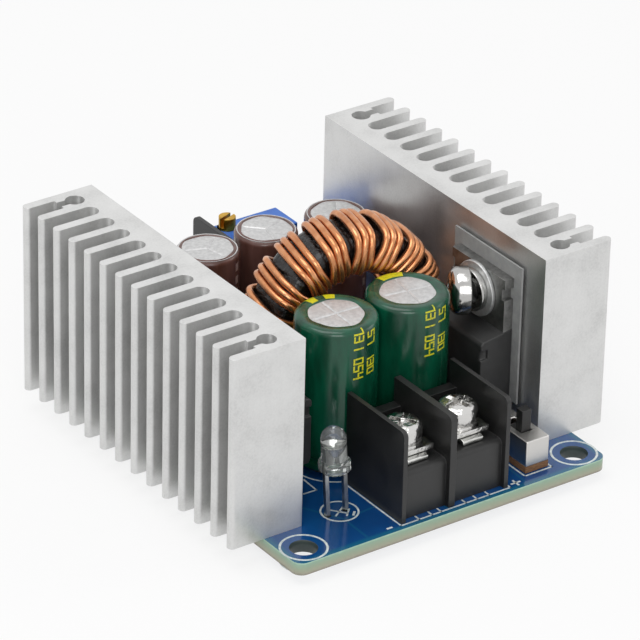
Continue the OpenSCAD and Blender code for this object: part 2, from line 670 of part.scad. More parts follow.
module term_housing() difference() {
    union() {
        term_wall(-term_w / 2, term_end_t);
        term_wall(term_mid_shift - term_mid_t / 2, term_mid_t);
        term_wall(term_w / 2 - term_end_t, term_end_t);
        rotate([90, 0, 90]) translate([0, 0, -term_w / 2 + 0.1]) linear_extrude(term_w - 0.2)
            polygon(concat([[term_recess, 0], [term_d - 0.1, 0], [term_d - 0.1, term_back_h],
                [term_d - term_back_t, term_back_h], [term_d - term_back_t, term_step]],
                arc(term_recess + term_lip_r, term_step - term_lip_r, term_lip_r, 90, 180, 6)));
    }
    for (x = bay_x) {
        translate([x, term_screw_y, term_step - 4]) cylinder(h = 8, r = term_shank_r + 0.35, $fn = 32);
        translate([x - term_leg_w / 2 - 0.2, term_leg_y - 0.15, -1])
            cube([term_leg_w + 0.4, term_leg_t + 0.25, term_step + 2]);
        translate([x - term_leg_w / 2 - 0.2, term_pin_y - 0.5, -1])
            cube([term_leg_w + 0.4, term_leg_y + 0.75 - term_pin_y, 1.8]);
    }
}

// Folded contact: clamping plate with a tongue bent down in front, a back leg and a foot pin.
module term_contact() {
    translate([0, 0, term_step]) difference() {
        union() {
            translate([-clamp_plate / 2 + 0.3, plate_y, 0])
                cube([clamp_plate - 0.6, term_leg_y + term_leg_t - plate_y + 0.05, plate_t]);
            translate([-tongue_w / 2, plate_y, 0]) rotate([90, 0, 90]) linear_extrude(tongue_w)
                polygon([[0, 0], [0, plate_t], [-tongue_l, 0.2 + plate_t / 2], [-tongue_l, 0.05]]);
        }
        translate([0, term_screw_y, -1]) cylinder(h = 4, r = term_shank_r + 0.05, $fn = 32);
    }
    translate([-term_leg_w / 2, term_leg_y, 0.1])
        cube([term_leg_w, term_leg_t, term_step + plate_t - 0.1]);
    translate([-term_foot_w / 2, term_pin_y - term_foot_d / 2, 0.1])
        cube([term_foot_w, term_leg_y + 0.75 - term_pin_y, 0.6]);
    translate([-term_foot_w / 2, term_pin_y - term_foot_d / 2, -top_z])
        cube([term_foot_w, term_foot_d, top_z + 0.6]);
}

module term_washer() translate([0, term_screw_y, term_step + plate_t]) difference() {
    union() {
        translate([-clamp_plate / 2, -clamp_plate / 2, 0]) cube([clamp_plate, clamp_plate, clamp_plate_t]);
        translate([0, 0, clamp_plate_t]) cylinder(h = clamp_boss_h, r = term_head_r - 0.2, $fn = 32);
    }
    translate([0, 0, -1]) cylinder(h = 3, r = term_shank_r + 0.12, $fn = 32);
}

module term_screw() translate([0, term_screw_y, term_step + plate_t + clamp_plate_t + clamp_boss_h]) {
    pan_head(term_head_r, term_head_h);
    translate([0, 0, -term_shank_l]) cylinder(h = term_shank_l, r = term_shank_r, $fn = 32);
}

module in_bays() term_place(in_term, 1) for (x = bay_x) translate([x, 0, 0]) children();
module out_bays() term_place(out_term, -1) for (x = bay_x) translate([x, 0, 0]) children();

module input_terminal_housing() color("#262626") term_place(in_term, 1) term_housing();
module input_terminal_contacts() color("#d8d8d4") in_bays() term_contact();
module input_terminal_screws() color("#c8c8c8") in_bays() term_screw();
module input_terminal_washers() color("#c0c0bc") in_bays() term_washer();
module output_terminal_housing() color("#262626") term_place(out_term, -1) term_housing();
module output_terminal_contacts() color("#d8d8d4") out_bays() term_contact();
module output_terminal_screws() color("#c8c8c8") out_bays() term_screw();
module output_terminal_washers() color("#c0c0bc") out_bays() term_washer();

// ---- LED ----

module led_place() translate([led_x, led_y, top_z + 0.6]) rotate([0, -led_lean, 0]) children();

// Two wires: straight through the board, leaning above it, ending in the lens.
module led_wires(grow) {
    for (s = [-1, 1]) translate([s * led_pitch / 2 - led_wire / 2 - grow, -led_wire / 2 - grow, 0])
        cube([led_wire + 2 * grow, led_wire + 2 * grow, led_up + 0.8]);
    translate([-led_pitch / 2 - grow, -0.3 - grow, led_up + 0.4])
        cube([1.05 + 2 * grow, 0.6 + 2 * grow, led_post_h - 0.2 + grow]);
    translate([0.25 - grow, -0.3 - grow, led_up + 0.4])
        cube([led_pitch / 2 - 0.25 + 2 * grow, 0.6 + 2 * grow, led_post_h + grow]);
}

module led_lens() color([0.9, 0.92, 0.92]) led_place() difference() {
    translate([0, 0, led_up - 0.6]) rotate_extrude(convexity = 4)
        polygon(concat([[0, 0], [led_flange_r, 0], [led_flange_r, led_flange_h - 0.05],
            [led_r, led_flange_h + 0.05]],
            arc(0, led_h - led_r, led_r, 0, 90, 8)));
    led_wires(fine);
}

module led_leads() color("#c9c9c9") {
    led_place() led_wires(0);
    for (s = [-1, 1]) translate([led_x + s * led_pitch / 2 - led_wire / 2, led_y - led_wire / 2, 0])
        cube([led_wire, led_wire, top_z + 0.7]);
}

// ---- slide switch ----

module switch_box(w, l, z0, z1) translate([switch_x - w / 2, switch_y - l / 2, top_z + z0])
    cube([w, l, z1 - z0]);

module switch_base() color("#6a4226") difference() {
    union() {
        switch_box(switch_w, switch_l, 0.05, switch_base_t);
        switch_box(switch_w - 2 * shell_t - 0.1, switch_l - 2 * shell_t - 0.1, 0.05, switch_base_t + 0.6);
    }
    for (p = switch_pins) translate([switch_x - pin_side / 2, switch_y + p - pin_side / 2, 0])
        cube([pin_side, pin_side, top_z + switch_base_t + 2]);
}

module switch_shell() color("#cfcfcf") difference() {
    switch_box(switch_w, switch_l, switch_base_t, switch_h);
    switch_box(switch_w - 2 * shell_t, switch_l - 2 * shell_t, 0, switch_h - shell_t);
    switch_box(knob_w + 2 * knob_clear, knob_l + knob_travel + 2 * knob_clear, 1, switch_h + 1);
}

// Knob with its carriage inside the shell.
module switch_knob() color("#2e2e2e") {
    translate([switch_x - knob_w / 2, knob_y - knob_l / 2, top_z + switch_base_t + 1.5])
        cube([knob_w, knob_l, switch_h + knob_up - switch_base_t - 1.5]);
    translate([switch_x - switch_w / 2 + shell_t + 0.15, knob_y - carriage_l / 2,
        top_z + switch_base_t + 0.8])
        cube([switch_w - 2 * shell_t - 0.3, carriage_l, switch_h - shell_t - 0.15 - switch_base_t - 0.8]);
}

module switch_pins() color("#c9c9c9")
    for (p = switch_pins) translate([switch_x - pin_side / 2, switch_y + p - pin_side / 2, 0])
        cube([pin_side, pin_side, top_z + switch_base_t + 0.6]);

// ---- trimmer ----

module trimmer_body() color("#2f6fc4") difference() {
    union() {
        translate([trim_x - trim_l / 2, trim_y - trim_w / 2, top_z + 0.4])
            cube([trim_l, trim_w, trim_h - 0.4]);
        for (s = [-1, 1]) translate([trim_x + s * (trim_l / 2 - 0.5) - 0.5, trim_y - trim_w / 2, top_z])
            cube([1, trim_w, 0.5]);
    }
    translate([trim_screw_at[0], trim_screw_at[1], top_z + trim_h - trim_sunk])
        cylinder(h = trim_sunk + 1, r = trim_screw_r + 0.05, $fn = 32);
}

module trimmer_screw() color("#c9a23a")
    translate([trim_screw_at[0], trim_screw_at[1], top_z + trim_h - trim_sunk + trim_gap]) difference() {
        cylinder(h = trim_sunk - trim_gap + trim_screw_up, r = trim_screw_r, $fn = 32);
        rotate(trim_slot_turn)
            translate([-2, -trim_slot_w / 2, trim_sunk - trim_gap + trim_screw_up - trim_slot_d])
                cube([4, trim_slot_w, 2]);
    }

module trimmer_pins() color("#c9c9c9")
    for (p = trim_holes) translate([p[0], p[1], 0]) cylinder(h = top_z + 0.4, r = trim_pin_r, $fn = 24);

// ---- small parts ----

// Gull-wing chip package along Y with legs on both sides.
module chip(at, l, legs) translate([at[0], at[1], top_z]) {
    translate([-chip_w / 2, -l / 2, 0.15]) cube([chip_w, l, chip_h - 0.15]);
    for (s = [-1, 1], i = [0:legs - 1]) translate([0, (i - (legs - 1) / 2) * chip_leg_pitch, 0])
        mirror([s < 0 ? 1 : 0, 0, 0]) rotate([90, 0, 0]) translate([0, 0, -0.2]) linear_extrude(0.4)
            polygon([[chip_w / 2 - 0.2, 0.7], [chip_w / 2 - 0.2, 0.9], [chip_w / 2 + 0.45, 0.9],
                [chip_w / 2 + 0.6, 0.2], [chip_w / 2 + 1.05, 0.2], [chip_w / 2 + 1.05, 0],
                [chip_w / 2 + 0.4, 0], [chip_w / 2 + 0.25, 0.7]]);
}

module controller_chip() color("#1f1f1f") chip([chip_x, chip_y], chip_l, 6);
module amplifier_chip() color("#1f1f1f") chip([amp_x, amp_y], amp_l, 4);

module shunt_resistor() color("#3a3a3a")
    translate([shunt_x - shunt_w / 2, shunt_y - shunt_l / 2, top_z]) cube([shunt_w, shunt_l, shunt_h]);

module chip_resistors() color("#1b1b1b") for (x = chip_resistor_x, y = chip_resistor_y)
    translate([x - chip_resistor[0] / 2, y, top_z]) cube(chip_resistor);

module chip_capacitors() color("#b08d5a") for (p = chip_capacitor_at)
    translate([p[0] - chip_capacitor[0] / 2, p[1] - chip_capacitor[1] / 2, top_z]) cube(chip_capacitor);

circuit_board();
solder_joints();
heatsink_left();
heatsink_right();
inductor_core();
winding_strand_a();
winding_strand_b();
winding_strand_c();
input_capacitor_left_can();
input_capacitor_left_sleeve();
input_capacitor_left_bung();
input_capacitor_right_can();
input_capacitor_right_sleeve();
input_capacitor_right_bung();
output_capacitor_a_can();
output_capacitor_a_sleeve();
output_capacitor_a_bung();
output_capacitor_b_can();
output_capacitor_b_sleeve();
output_capacitor_b_bung();
output_capacitor_c_can();
output_capacitor_c_sleeve();
output_capacitor_c_bung();
capacitor_leads();
input_terminal_housing();
input_terminal_contacts();
input_terminal_screws();
input_terminal_washers();
output_terminal_housing();
output_terminal_contacts();
output_terminal_screws();
output_terminal_washers();
led_lens();
led_leads();
switch_shell();
switch_base();
switch_knob();
switch_pins();
trimmer_body();
trimmer_screw();
trimmer_pins();
transistor_case();
transistor_leadframe();
transistor_pad();
rectifier_case();
rectifier_leadframe();
rectifier_pad();
clamp_screws();
clamp_flat_washers();
clamp_spring_washers();
controller_chip();
amplifier_chip();
shunt_resistor();
chip_resistors();
chip_capacitors();
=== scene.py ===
import math

import bmesh
import bpy
import numpy as np
from mathutils import Euler, Matrix, Vector, noise


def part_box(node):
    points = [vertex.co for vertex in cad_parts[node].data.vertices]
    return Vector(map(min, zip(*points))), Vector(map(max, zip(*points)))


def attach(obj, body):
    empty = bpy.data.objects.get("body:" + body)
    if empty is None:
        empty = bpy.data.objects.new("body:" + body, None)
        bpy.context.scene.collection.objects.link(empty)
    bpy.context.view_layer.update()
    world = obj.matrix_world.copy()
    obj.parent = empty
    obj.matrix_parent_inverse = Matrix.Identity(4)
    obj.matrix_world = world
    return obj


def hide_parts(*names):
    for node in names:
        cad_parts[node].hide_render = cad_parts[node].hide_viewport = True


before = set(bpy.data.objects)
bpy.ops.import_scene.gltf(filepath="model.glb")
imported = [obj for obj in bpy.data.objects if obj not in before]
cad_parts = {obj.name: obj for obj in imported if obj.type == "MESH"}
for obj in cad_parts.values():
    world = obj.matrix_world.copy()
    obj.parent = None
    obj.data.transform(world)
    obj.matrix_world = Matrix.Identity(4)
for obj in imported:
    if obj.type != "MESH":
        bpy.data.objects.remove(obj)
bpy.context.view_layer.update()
BODY = "module"
MM = 0.001

# ---- circuit board ----
# A 1.6 mm glass-epoxy laminate with copper on both sides under a glossy blue solder mask.
# It is routed to shape, so its edge shows the bare greenish laminate.


def linear(code):
    """An sRGB hex colour as linear RGBA."""
    channels = [int(code[i:i + 2], 16) / 255 for i in (1, 3, 5)]
    return (*[c / 12.92 if c <= 0.04045 else ((c + 0.055) / 1.055) ** 2.4 for c in channels], 1)


def add(tree, kind, settings=None, inputs=None):
    """Adds a node, sets its properties or ramp stops, and fills or links its inputs."""
    made = tree.nodes.new(kind)
    for key, value in (settings or {}).items():
        if key == "stops":
            ramp = made.color_ramp.elements
            while len(ramp) < len(value):
                ramp.new(0.5)
            for stop, (place, colour) in zip(ramp, value):
                stop.position = place
                stop.color = linear(colour)
        else:
            setattr(made, key, value)
    for key, value in (inputs or {}).items():
        if isinstance(value, bpy.types.NodeSocket):
            tree.links.new(value, made.inputs[key])
        else:
            made.inputs[key].default_value = value
    return made


def finish_of(name, sockets):
    """A material with one Principled shader; returns the material, its tree and the shader."""
    made = bpy.data.materials.new(name)
    made.use_nodes = True
    shader = made.node_tree.nodes["Principled BSDF"]
    for key, value in sockets.items():
        shader.inputs[key].default_value = value
    return made, made.node_tree, shader


def in_mm(tree, scale=(1, 1, 1), turn=(0, 0, 0)):
    """Object coordinates in millimetres, stretched or turned for a grain."""
    place = add(tree, "ShaderNodeTexCoord").outputs["Object"]
    return add(tree, "ShaderNodeMapping", {}, {
        "Vector": place, "Scale": [1 / MM * s for s in scale], "Rotation": turn}).outputs[0]


def bumped(tree, shader, height, depth_mm, strength=1.0):
    """Gives the shader a bump from a height socket whose full range is depth_mm."""
    bump = add(tree, "ShaderNodeBump", {}, {"Height": height, "Distance": depth_mm * MM, "Strength": strength})
    tree.links.new(bump.outputs[0], shader.inputs["Normal"])


# Glass-epoxy laminate (FR-4): mask blue over copper, teal where the copper stops, grey-green edge with painted light on
# it (a painted highlight along its top, painted shade towards its bottom), and hole walls darkened with painted shade.
laminate, tree, shader = finish_of("fr4_laminate_blue_mask", {"Roughness": 0.22, "IOR": 1.5})
shader.inputs["Coat Weight"].default_value = 0.5
shader.inputs["Coat Roughness"].default_value = 0.08
lo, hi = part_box("circuit_board")
board_lo, board_hi = lo.copy(), hi.copy()
flat_mm = in_mm(tree)
axes = add(tree, "ShaderNodeSeparateXYZ", {}, {"Vector": flat_mm})
# distance to the routed edge, in mm
reach_x = add(tree, "ShaderNodeMath", {"operation": "ABSOLUTE"}, {0: axes.outputs["X"]}).outputs[0]
reach_y = add(tree, "ShaderNodeMath", {"operation": "ABSOLUTE"}, {0: axes.outputs["Y"]}).outputs[0]
from_side = add(tree, "ShaderNodeMath", {"operation": "SUBTRACT"}, {0: hi.x / MM, 1: reach_x}).outputs[0]
from_end = add(tree, "ShaderNodeMath", {"operation": "SUBTRACT"}, {0: hi.y / MM, 1: reach_y}).outputs[0]
from_edge = add(tree, "ShaderNodeMath", {"operation": "MINIMUM"}, {0: from_side, 1: from_end}).outputs[0]
# copper areas about 11 mm across, parted by 0.35 mm clearances
areas = add(tree, "ShaderNodeTexVoronoi", {"feature": "DISTANCE_TO_EDGE", "voronoi_dimensions": "2D"},
            {"Vector": flat_mm, "Scale": 1 / 11, "Randomness": 0.8}).outputs["Distance"]
etched = add(tree, "ShaderNodeMapRange", {}, {
    "Value": areas, "From Min": 0.01, "From Max": 0.02, "To Min": 0.55}).outputs[0]
margin = add(tree, "ShaderNodeMapRange", {}, {"Value": from_edge, "From Min": 0.35, "From Max": 0.9}).outputs[0]
copper = add(tree, "ShaderNodeMath", {"operation": "MINIMUM"}, {0: etched, 1: margin}).outputs[0]
cloud = add(tree, "ShaderNodeTexNoise", {}, {"Vector": flat_mm, "Scale": 1 / 7, "Detail": 2}).outputs["Fac"]
blue = add(tree, "ShaderNodeValToRGB", {"stops": [(0.3, "#0d3f77"), (0.75, "#145291")]}, {"Fac": cloud}).outputs[0]
mask = add(tree, "ShaderNodeMix", {"data_type": "RGBA"},
           {0: copper, 6: linear("#1a6486"), 7: blue}).outputs[2]
edge_height = add(tree, "ShaderNodeMapRange", {}, {
    "Value": axes.outputs["Z"], "From Min": lo.z / MM, "From Max": hi.z / MM}).outputs[0]
weave = add(tree, "ShaderNodeTexNoise", {}, {
    "Vector": in_mm(tree, (1, 1, 6)), "Scale": 1.2, "Detail": 3}).outputs["Fac"]
weave_part = add(tree, "ShaderNodeMath", {"operation": "MULTIPLY_ADD"}, {0: weave, 1: 0.3, 2: -0.15}).outputs[0]
edge_height_with_weave = add(tree, "ShaderNodeMath", {"operation": "ADD"}, {0: edge_height, 1: weave_part}).outputs[0]
# edge colour by height: the laminate's layers and weave, plus a painted highlight along the top and painted shade
# towards the bottom
edge_with_painted_light = add(tree, "ShaderNodeValToRGB", {"stops": [
    (0.02, "#8a8478"), (0.2, "#a5a48f"), (0.55, "#98a890"), (0.85, "#8fae98"), (0.97, "#a9c9b2")]},
    {"Fac": edge_height_with_weave}).outputs[0]
# walls inside the board, away from the routed edge, take a dark colour: painted shade in the holes
in_hole = add(tree, "ShaderNodeMapRange", {}, {"Value": from_edge, "From Min": 0.8, "From Max": 0.95}).outputs[0]
edge_and_shaded_holes = add(tree, "ShaderNodeMix", {"data_type": "RGBA"}, {0: in_hole, 6: edge_with_painted_light, 7: linear("#2c3a38")}).outputs[2]
facing = add(tree, "ShaderNodeSeparateXYZ", {}, {
    "Vector": add(tree, "ShaderNodeNewGeometry").outputs["Normal"]}).outputs["Z"]
flat_face = add(tree, "ShaderNodeMath", {"operation": "GREATER_THAN"}, {
    0: add(tree, "ShaderNodeMath", {"operation": "ABSOLUTE"}, {0: facing}).outputs[0], 1: 0.6}).outputs[0]
skin = add(tree, "ShaderNodeMix", {"data_type": "RGBA"}, {0: flat_face, 6: edge_and_shaded_holes, 7: mask}).outputs[2]
tree.links.new(skin, shader.inputs["Base Color"])
rough = add(tree, "ShaderNodeMapRange", {}, {"Value": flat_face, "To Min": 0.65, "To Max": 0.16}).outputs[0]
tree.links.new(rough, shader.inputs["Roughness"])
step_up = add(tree, "ShaderNodeMath", {"operation": "MULTIPLY_ADD"}, {0: cloud, 1: 0.25, 2: copper}).outputs[0]
bumped(tree, shader, step_up, 0.03, 0.5)


def plain(name, made, material, replaced=(), body=BODY):
    """Puts a finished mesh in the scene as a piece that rides on a body."""
    piece = bpy.data.objects.new(name, made)
    bpy.context.scene.collection.objects.link(piece)
    made.materials.clear()
    made.materials.append(material)
    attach(piece, body)
    if replaced:
        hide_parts(*replaced)
    return piece


def rounded(node, width_mm, steps=2, angle=28):
    """A copy of a CAD node with its triangles joined up and its sharp edges rounded."""
    bm = bmesh.new()
    bm.from_mesh(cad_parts[node].data)
    bmesh.ops.remove_doubles(bm, verts=bm.verts, dist=1e-6)
    bmesh.ops.dissolve_limit(bm, angle_limit=math.radians(0.6), verts=bm.verts, edges=bm.edges)
    made = bpy.data.meshes.new(node + "_work")
    bm.to_mesh(made)
    bm.free()
    made.shade_smooth()
    work = bpy.data.objects.new(node + "_work", made)
    bpy.context.scene.collection.objects.link(work)
    bevel = work.modifiers.new("edges", "BEVEL")
    bevel.width = width_mm * MM
    bevel.segments = steps
    bevel.limit_method = "ANGLE"
    bevel.angle_limit = math.radians(angle)
    # flat faces keep their own normals, so that reflections on them stay straight
    flat = work.modifiers.new("flat_faces", "WEIGHTED_NORMAL")
    flat.weight = 100
    done = bpy.data.meshes.new_from_object(work.evaluated_get(bpy.context.evaluated_depsgraph_get()))
    bpy.data.objects.remove(work)
    return done


plain("board", rounded("circuit_board", 0.04, 1), laminate, ["circuit_board"])

# ---- silkscreen ----
# Epoxy ink printed through a screen on the mask: outlines, polarity marks and rings.
# It stands about 0.02 mm proud, with slightly soft edges.

top_z = board_hi.z / MM
INK_T = 0.025
LINE_W = 0.2


def flat_box(bm, corners, z0, z1):
    """A closed thin prism over the given corners, in mm."""
    low = [bm.verts.new((x * MM, y * MM, z0 * MM)) for x, y in corners]
    high = [bm.verts.new((x * MM, y * MM, z1 * MM)) for x, y in corners]
    bm.faces.new(low[::-1])
    bm.faces.new(high)
    for i in range(len(corners)):
        j = (i + 1) % len(corners)
        bm.faces.new((low[i], low[j], high[j], high[i]))


def stroke(bm, points, width=LINE_W, z=top_z, up=1):
    """Printed line through the points."""
    for (x0, y0), (x1, y1) in zip(points, points[1:]):
        length = math.hypot(x1 - x0, y1 - y0)
        ux, uy = (x1 - x0) / length * width / 2, (y1 - y0) / length * width / 2
        corners = [(x0 - ux + uy, y0 - uy - ux), (x1 + ux + uy, y1 + uy - ux),
                   (x1 + ux - uy, y1 + uy + ux), (x0 - ux - uy, y0 - uy + ux)]
        flat_box(bm, corners, min(z, z + up * INK_T), max(z, z + up * INK_T))


def ring(bm, x, y, radius, width=LINE_W, a0=0, a1=360, z=top_z, up=1):
    """Printed ring or arc round a point, as one closed strip."""
    count = max(8, int(abs(a1 - a0) / 7.5))
    whole = abs(a1 - a0) >= 360
    z0, z1 = sorted((z, z + up * INK_T))
    rows = []
    for i in range(count if whole else count + 1):
        a = math.radians(a0 + (a1 - a0) * i / count)
        rows.append([bm.verts.new(((x + r * math.cos(a)) * MM, (y + r * math.sin(a)) * MM, h * MM))
                     for r, h in ((radius - width / 2, z0), (radius + width / 2, z0),
                                  (radius + width / 2, z1), (radius - width / 2, z1))])
    pairs = list(zip(rows, rows[1:])) + ([(rows[-1], rows[0])] if whole else [])
    for one, two in pairs:
        for k in range(4):
            bm.faces.new((one[k], one[(k + 1) % 4], two[(k + 1) % 4], two[k]))
    if not whole:
        bm.faces.new(rows[0][::-1])
        bm.faces.new(rows[-1])


def centre(node):
    """Middle of a CAD node's box along X and Y, with its half sizes, in mm."""
    low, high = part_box(node)
    return ((low.x + high.x) / 2 / MM, (low.y + high.y) / 2 / MM,
            (high.x - low.x) / 2 / MM, (high.y - low.y) / 2 / MM)


def frame_round(bm, node, gap, ticks=()):
    """Printed rectangle round a part's foot."""
    x, y, hx, hy = centre(node)
    hx, hy = hx + gap, hy + gap
    stroke(bm, [(x - hx, y - hy), (x + hx, y - hy), (x + hx, y + hy), (x - hx, y + hy), (x - hx, y - hy)])
    for tick in ticks:
        side = -hy if y < 0 else hy
        stroke(bm, [(x + tick, y + side), (x + tick, y + side * 0.87)])


ink_mesh = bmesh.new()
hole_x, hole_y = board_hi.x / MM - 2.7, board_hi.y / MM - 2.9
for sx in (-1, 1):
    for sy in (-1, 1):
        ring(ink_mesh, sx * hole_x, sy * hole_y, 2.7, 0.27)
        ring(ink_mesh, sx * hole_x, sy * hole_y, 2.7, 0.27, z=board_lo.z / MM, up=-1)
frame_round(ink_mesh, "input_terminal_housing", 0.2, (-5.2, -3.4, -2.1, 1.4, 3.0, 4.7))
frame_round(ink_mesh, "output_terminal_housing", 0.2, (-5.2, -3.4, -2.1, 1.4, 3.0, 4.7))
frame_round(ink_mesh, "trimmer_body", 0.35)
frame_round(ink_mesh, "switch_base", 0.3)
frame_round(ink_mesh, "shunt_resistor", 0.4)
led_x, led_y = -11.3, centre("led_leads")[1]
ring(ink_mesh, led_x, led_y, 2.18, 0.22)
stroke(ink_mesh, [(led_x - 0.9, led_y - 0.6), (led_x + 0.9, led_y + 0.6)], 0.2)
stroke(ink_mesh, [(led_x - 0.7, led_y + 0.75), (led_x + 0.55, led_y - 0.85)], 0.2)
stroke(ink_mesh, [(led_x + 0.2, led_y - 1.2), (led_x + 1.2, led_y - 0.2)], 0.2)
stroke(ink_mesh, [(led_x + 0.9, led_y - 1.5), (led_x + 1.35, led_y - 1.05)], 0.28)
stroke(ink_mesh, [(-12.5, -16.75), (-10.8, -16.8), (-10.7, -14.2)])
for cap in ("input_capacitor_left", "input_capacitor_right"):
    x, y, r, _ = centre(cap + "_sleeve")
    ring(ink_mesh, x, y, r + 0.3)
for cap in ("output_capacitor_a", "output_capacitor_b", "output_capacitor_c"):
    x, y, r, _ = centre(cap + "_sleeve")
    ring(ink_mesh, x, y, r + 0.35)
for chip in ("controller_chip", "amplifier_chip"):
    x, y, hx, hy = centre(chip)
    stroke(ink_mesh, [(x - 1.6, y - hy - 0.4), (x + 1.6, y - hy - 0.4)])
    stroke(ink_mesh, [(x - 1.6, y + hy + 0.4), (x + 1.6, y + hy + 0.4)])
    ring(ink_mesh, x - hx + 0.4, y - hy - 0.7, 0.15, 0.3)
in_x, in_y, in_hx, in_hy = centre("input_terminal_housing")
out_x, out_y, out_hx, out_hy = centre("output_terminal_housing")
for x, y in ((in_x - in_hx - 1.6, in_y - in_hy + 0.1), (out_x - out_hx - 1.6, out_y + out_hy - 0.5)):
    stroke(ink_mesh, [(x - 0.25, y), (x + 0.25, y)], 0.28)
for x, y in ((in_x + in_hx + 1.35, in_y - in_hy + 0.3), (out_x + out_hx + 1.6, out_y + out_hy + 0.2)):
    stroke(ink_mesh, [(x - 0.55, y), (x + 0.55, y)], 0.26)
    stroke(ink_mesh, [(x, y - 0.5), (x, y + 0.5)], 0.26)
x, y, hx, hy = centre("switch_base")
ring(ink_mesh, x + hx + 1.9, y + 0.4, 0.5, 0.26, 90, 270)
for dy in (-0.5, 0.5):
    stroke(ink_mesh, [(x + hx + 1.9, y + 0.4 + dy), (x + hx + 2.5, y + 0.4 + dy)], 0.26)

# Legend ink (white epoxy): matt, slightly grey where the mask shows through.
legend, tree, shader = finish_of("epoxy_legend_ink", {"Roughness": 0.55})
worn = add(tree, "ShaderNodeTexNoise", {}, {"Vector": in_mm(tree), "Scale": 2.2, "Detail": 3}).outputs["Fac"]
tree.links.new(add(tree, "ShaderNodeValToRGB", {"stops": [(0.35, "#b9c6c8"), (0.6, "#dfe6e4")]},
                   {"Fac": worn}).outputs[0], shader.inputs["Base Color"])


def made_from(bm, name):
    """Turns a bmesh into a mesh with outward faces, smooth below 35 degrees."""
    bmesh.ops.recalc_face_normals(bm, faces=bm.faces)
    made = bpy.data.meshes.new(name)
    bm.to_mesh(made)
    bm.free()
    made.shade_smooth()
    made.set_sharp_from_angle(angle=math.radians(35))
    return made


plain("legend_print", made_from(ink_mesh, "legend_print"), legend)

# ---- solder joints ----
# Each lead ends in a fillet of tin solder under the board. It wets the pad and climbs the lead,
# so its side is hollow.


def islands(node, z_max=None):
    """Boxes (low, high) of the separate solids of a CAD node, or of their parts below z_max."""
    bm = bmesh.new()
    bm.from_mesh(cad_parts[node].data)
    bmesh.ops.remove_doubles(bm, verts=bm.verts, dist=1e-6)
    kept = [v for v in bm.verts if z_max is None or v.co.z < z_max]
    left, boxes = set(kept), []
    while left:
        group, edge_of = [], [left.pop()]
        while edge_of:
            v = edge_of.pop()
            group.append(v.co)
            for e in v.link_edges:
                other = e.other_vert(v)
                if other in left:
                    left.remove(other)
                    edge_of.append(other)
        co = np.array(group)
        boxes.append((Vector(co.min(0)), Vector(co.max(0))))
    bm.free()
    return sorted(boxes, key=lambda b: (round(b[0].x, 5), round(b[0].y, 5)))


def lathe(profile, steps=48, loop=False):
    """A shape turned round Z from (radius, height) pairs in mm, closed at the axis or as a loop."""
    bm = bmesh.new()
    rings = []
    for r, z in profile:
        if r < 1e-6:
            rings.append([bm.verts.new((0, 0, z * MM))] * steps)
        else:
            rings.append([bm.verts.new((r * math.cos(a) * MM, r * math.sin(a) * MM, z * MM))
                          for a in (2 * math.pi * i / steps for i in range(steps))])
    pairs = list(zip(rings, rings[1:])) + ([(rings[-1], rings[0])] if loop else [])
    for one, two in pairs:
        for i in range(steps):
            j = (i + 1) % steps
            corners = list(dict.fromkeys((one[i], one[j], two[j], two[i])))
            if len(corners) > 2:
                bm.faces.new(corners)
    return bm


def copies_tree():
    """Geometry Nodes that set a copy of one object on each point, turned and sized by its attributes."""
    tree = bpy.data.node_groups.new("set_on_points", "GeometryNodeTree")
    for name, kind in (("Points", "NodeSocketGeometry"), ("Part", "NodeSocketObject"),
                       ("Finish", "NodeSocketMaterial")):
        tree.interface.new_socket(name, in_out="INPUT", socket_type=kind)
    tree.interface.new_socket("Mesh", in_out="OUTPUT", socket_type="NodeSocketGeometry")
    given = add(tree, "NodeGroupInput").outputs
    part = add(tree, "GeometryNodeObjectInfo", {}, {"Object": given["Part"]}).outputs["Geometry"]
    turn = add(tree, "GeometryNodeInputNamedAttribute", {"data_type": "FLOAT_VECTOR"}, {"Name": "turn"}).outputs[0]
    size = add(tree, "GeometryNodeInputNamedAttribute", {"data_type": "FLOAT_VECTOR"}, {"Name": "size"}).outputs[0]
    spin = add(tree, "FunctionNodeEulerToRotation", {}, {0: turn}).outputs[0]
    placed = add(tree, "GeometryNodeInstanceOnPoints", {}, {
        "Points": given["Points"], "Instance": part, "Rotation": spin, "Scale": size}).outputs[0]
    real = add(tree, "GeometryNodeRealizeInstances", {}, {"Geometry": placed}).outputs[0]
    done = add(tree, "GeometryNodeSetMaterial", {}, {"Geometry": real, "Material": given["Finish"]}).outputs[0]
    add(tree, "NodeGroupOutput", {}, {0: done})
    return tree


set_on_points = copies_tree()


def run_tree(source, tree, values):
    """Evaluates a Geometry Nodes tree on an object once, removes the object and returns the mesh."""
    bpy.context.scene.collection.objects.link(source)
    modifier = source.modifiers.new("build", "NODES")
    modifier.node_group = tree
    for item in tree.interface.items_tree:
        if item.in_out == "INPUT" and item.name in values:
            modifier[item.identifier] = values[item.name]
    done = bpy.data.meshes.new_from_object(source.evaluated_get(bpy.context.evaluated_depsgraph_get()))
    source.modifiers.remove(modifier)
    bpy.data.objects.remove(source)
    return done


def copies(part_mesh, places, material):
    """One mesh with a copy of part_mesh at each (position, turn, size)."""
    points = bpy.data.meshes.new("points")
    points.from_pydata([p for p, _, _ in places], [], [])
    for name, column in (("turn", 1), ("size", 2)):
        values = points.attributes.new(name, "FLOAT_VECTOR", "POINT")
        values.data.foreach_set("vector", [c for place in places for c in place[column]])
    part = bpy.data.objects.new("part", part_mesh)
    bpy.context.scene.collection.objects.link(part)
    done = run_tree(bpy.data.objects.new("points", points), set_on_points,
                    {"Part": part, "Finish": material})
    bpy.data.objects.remove(part)
    return done


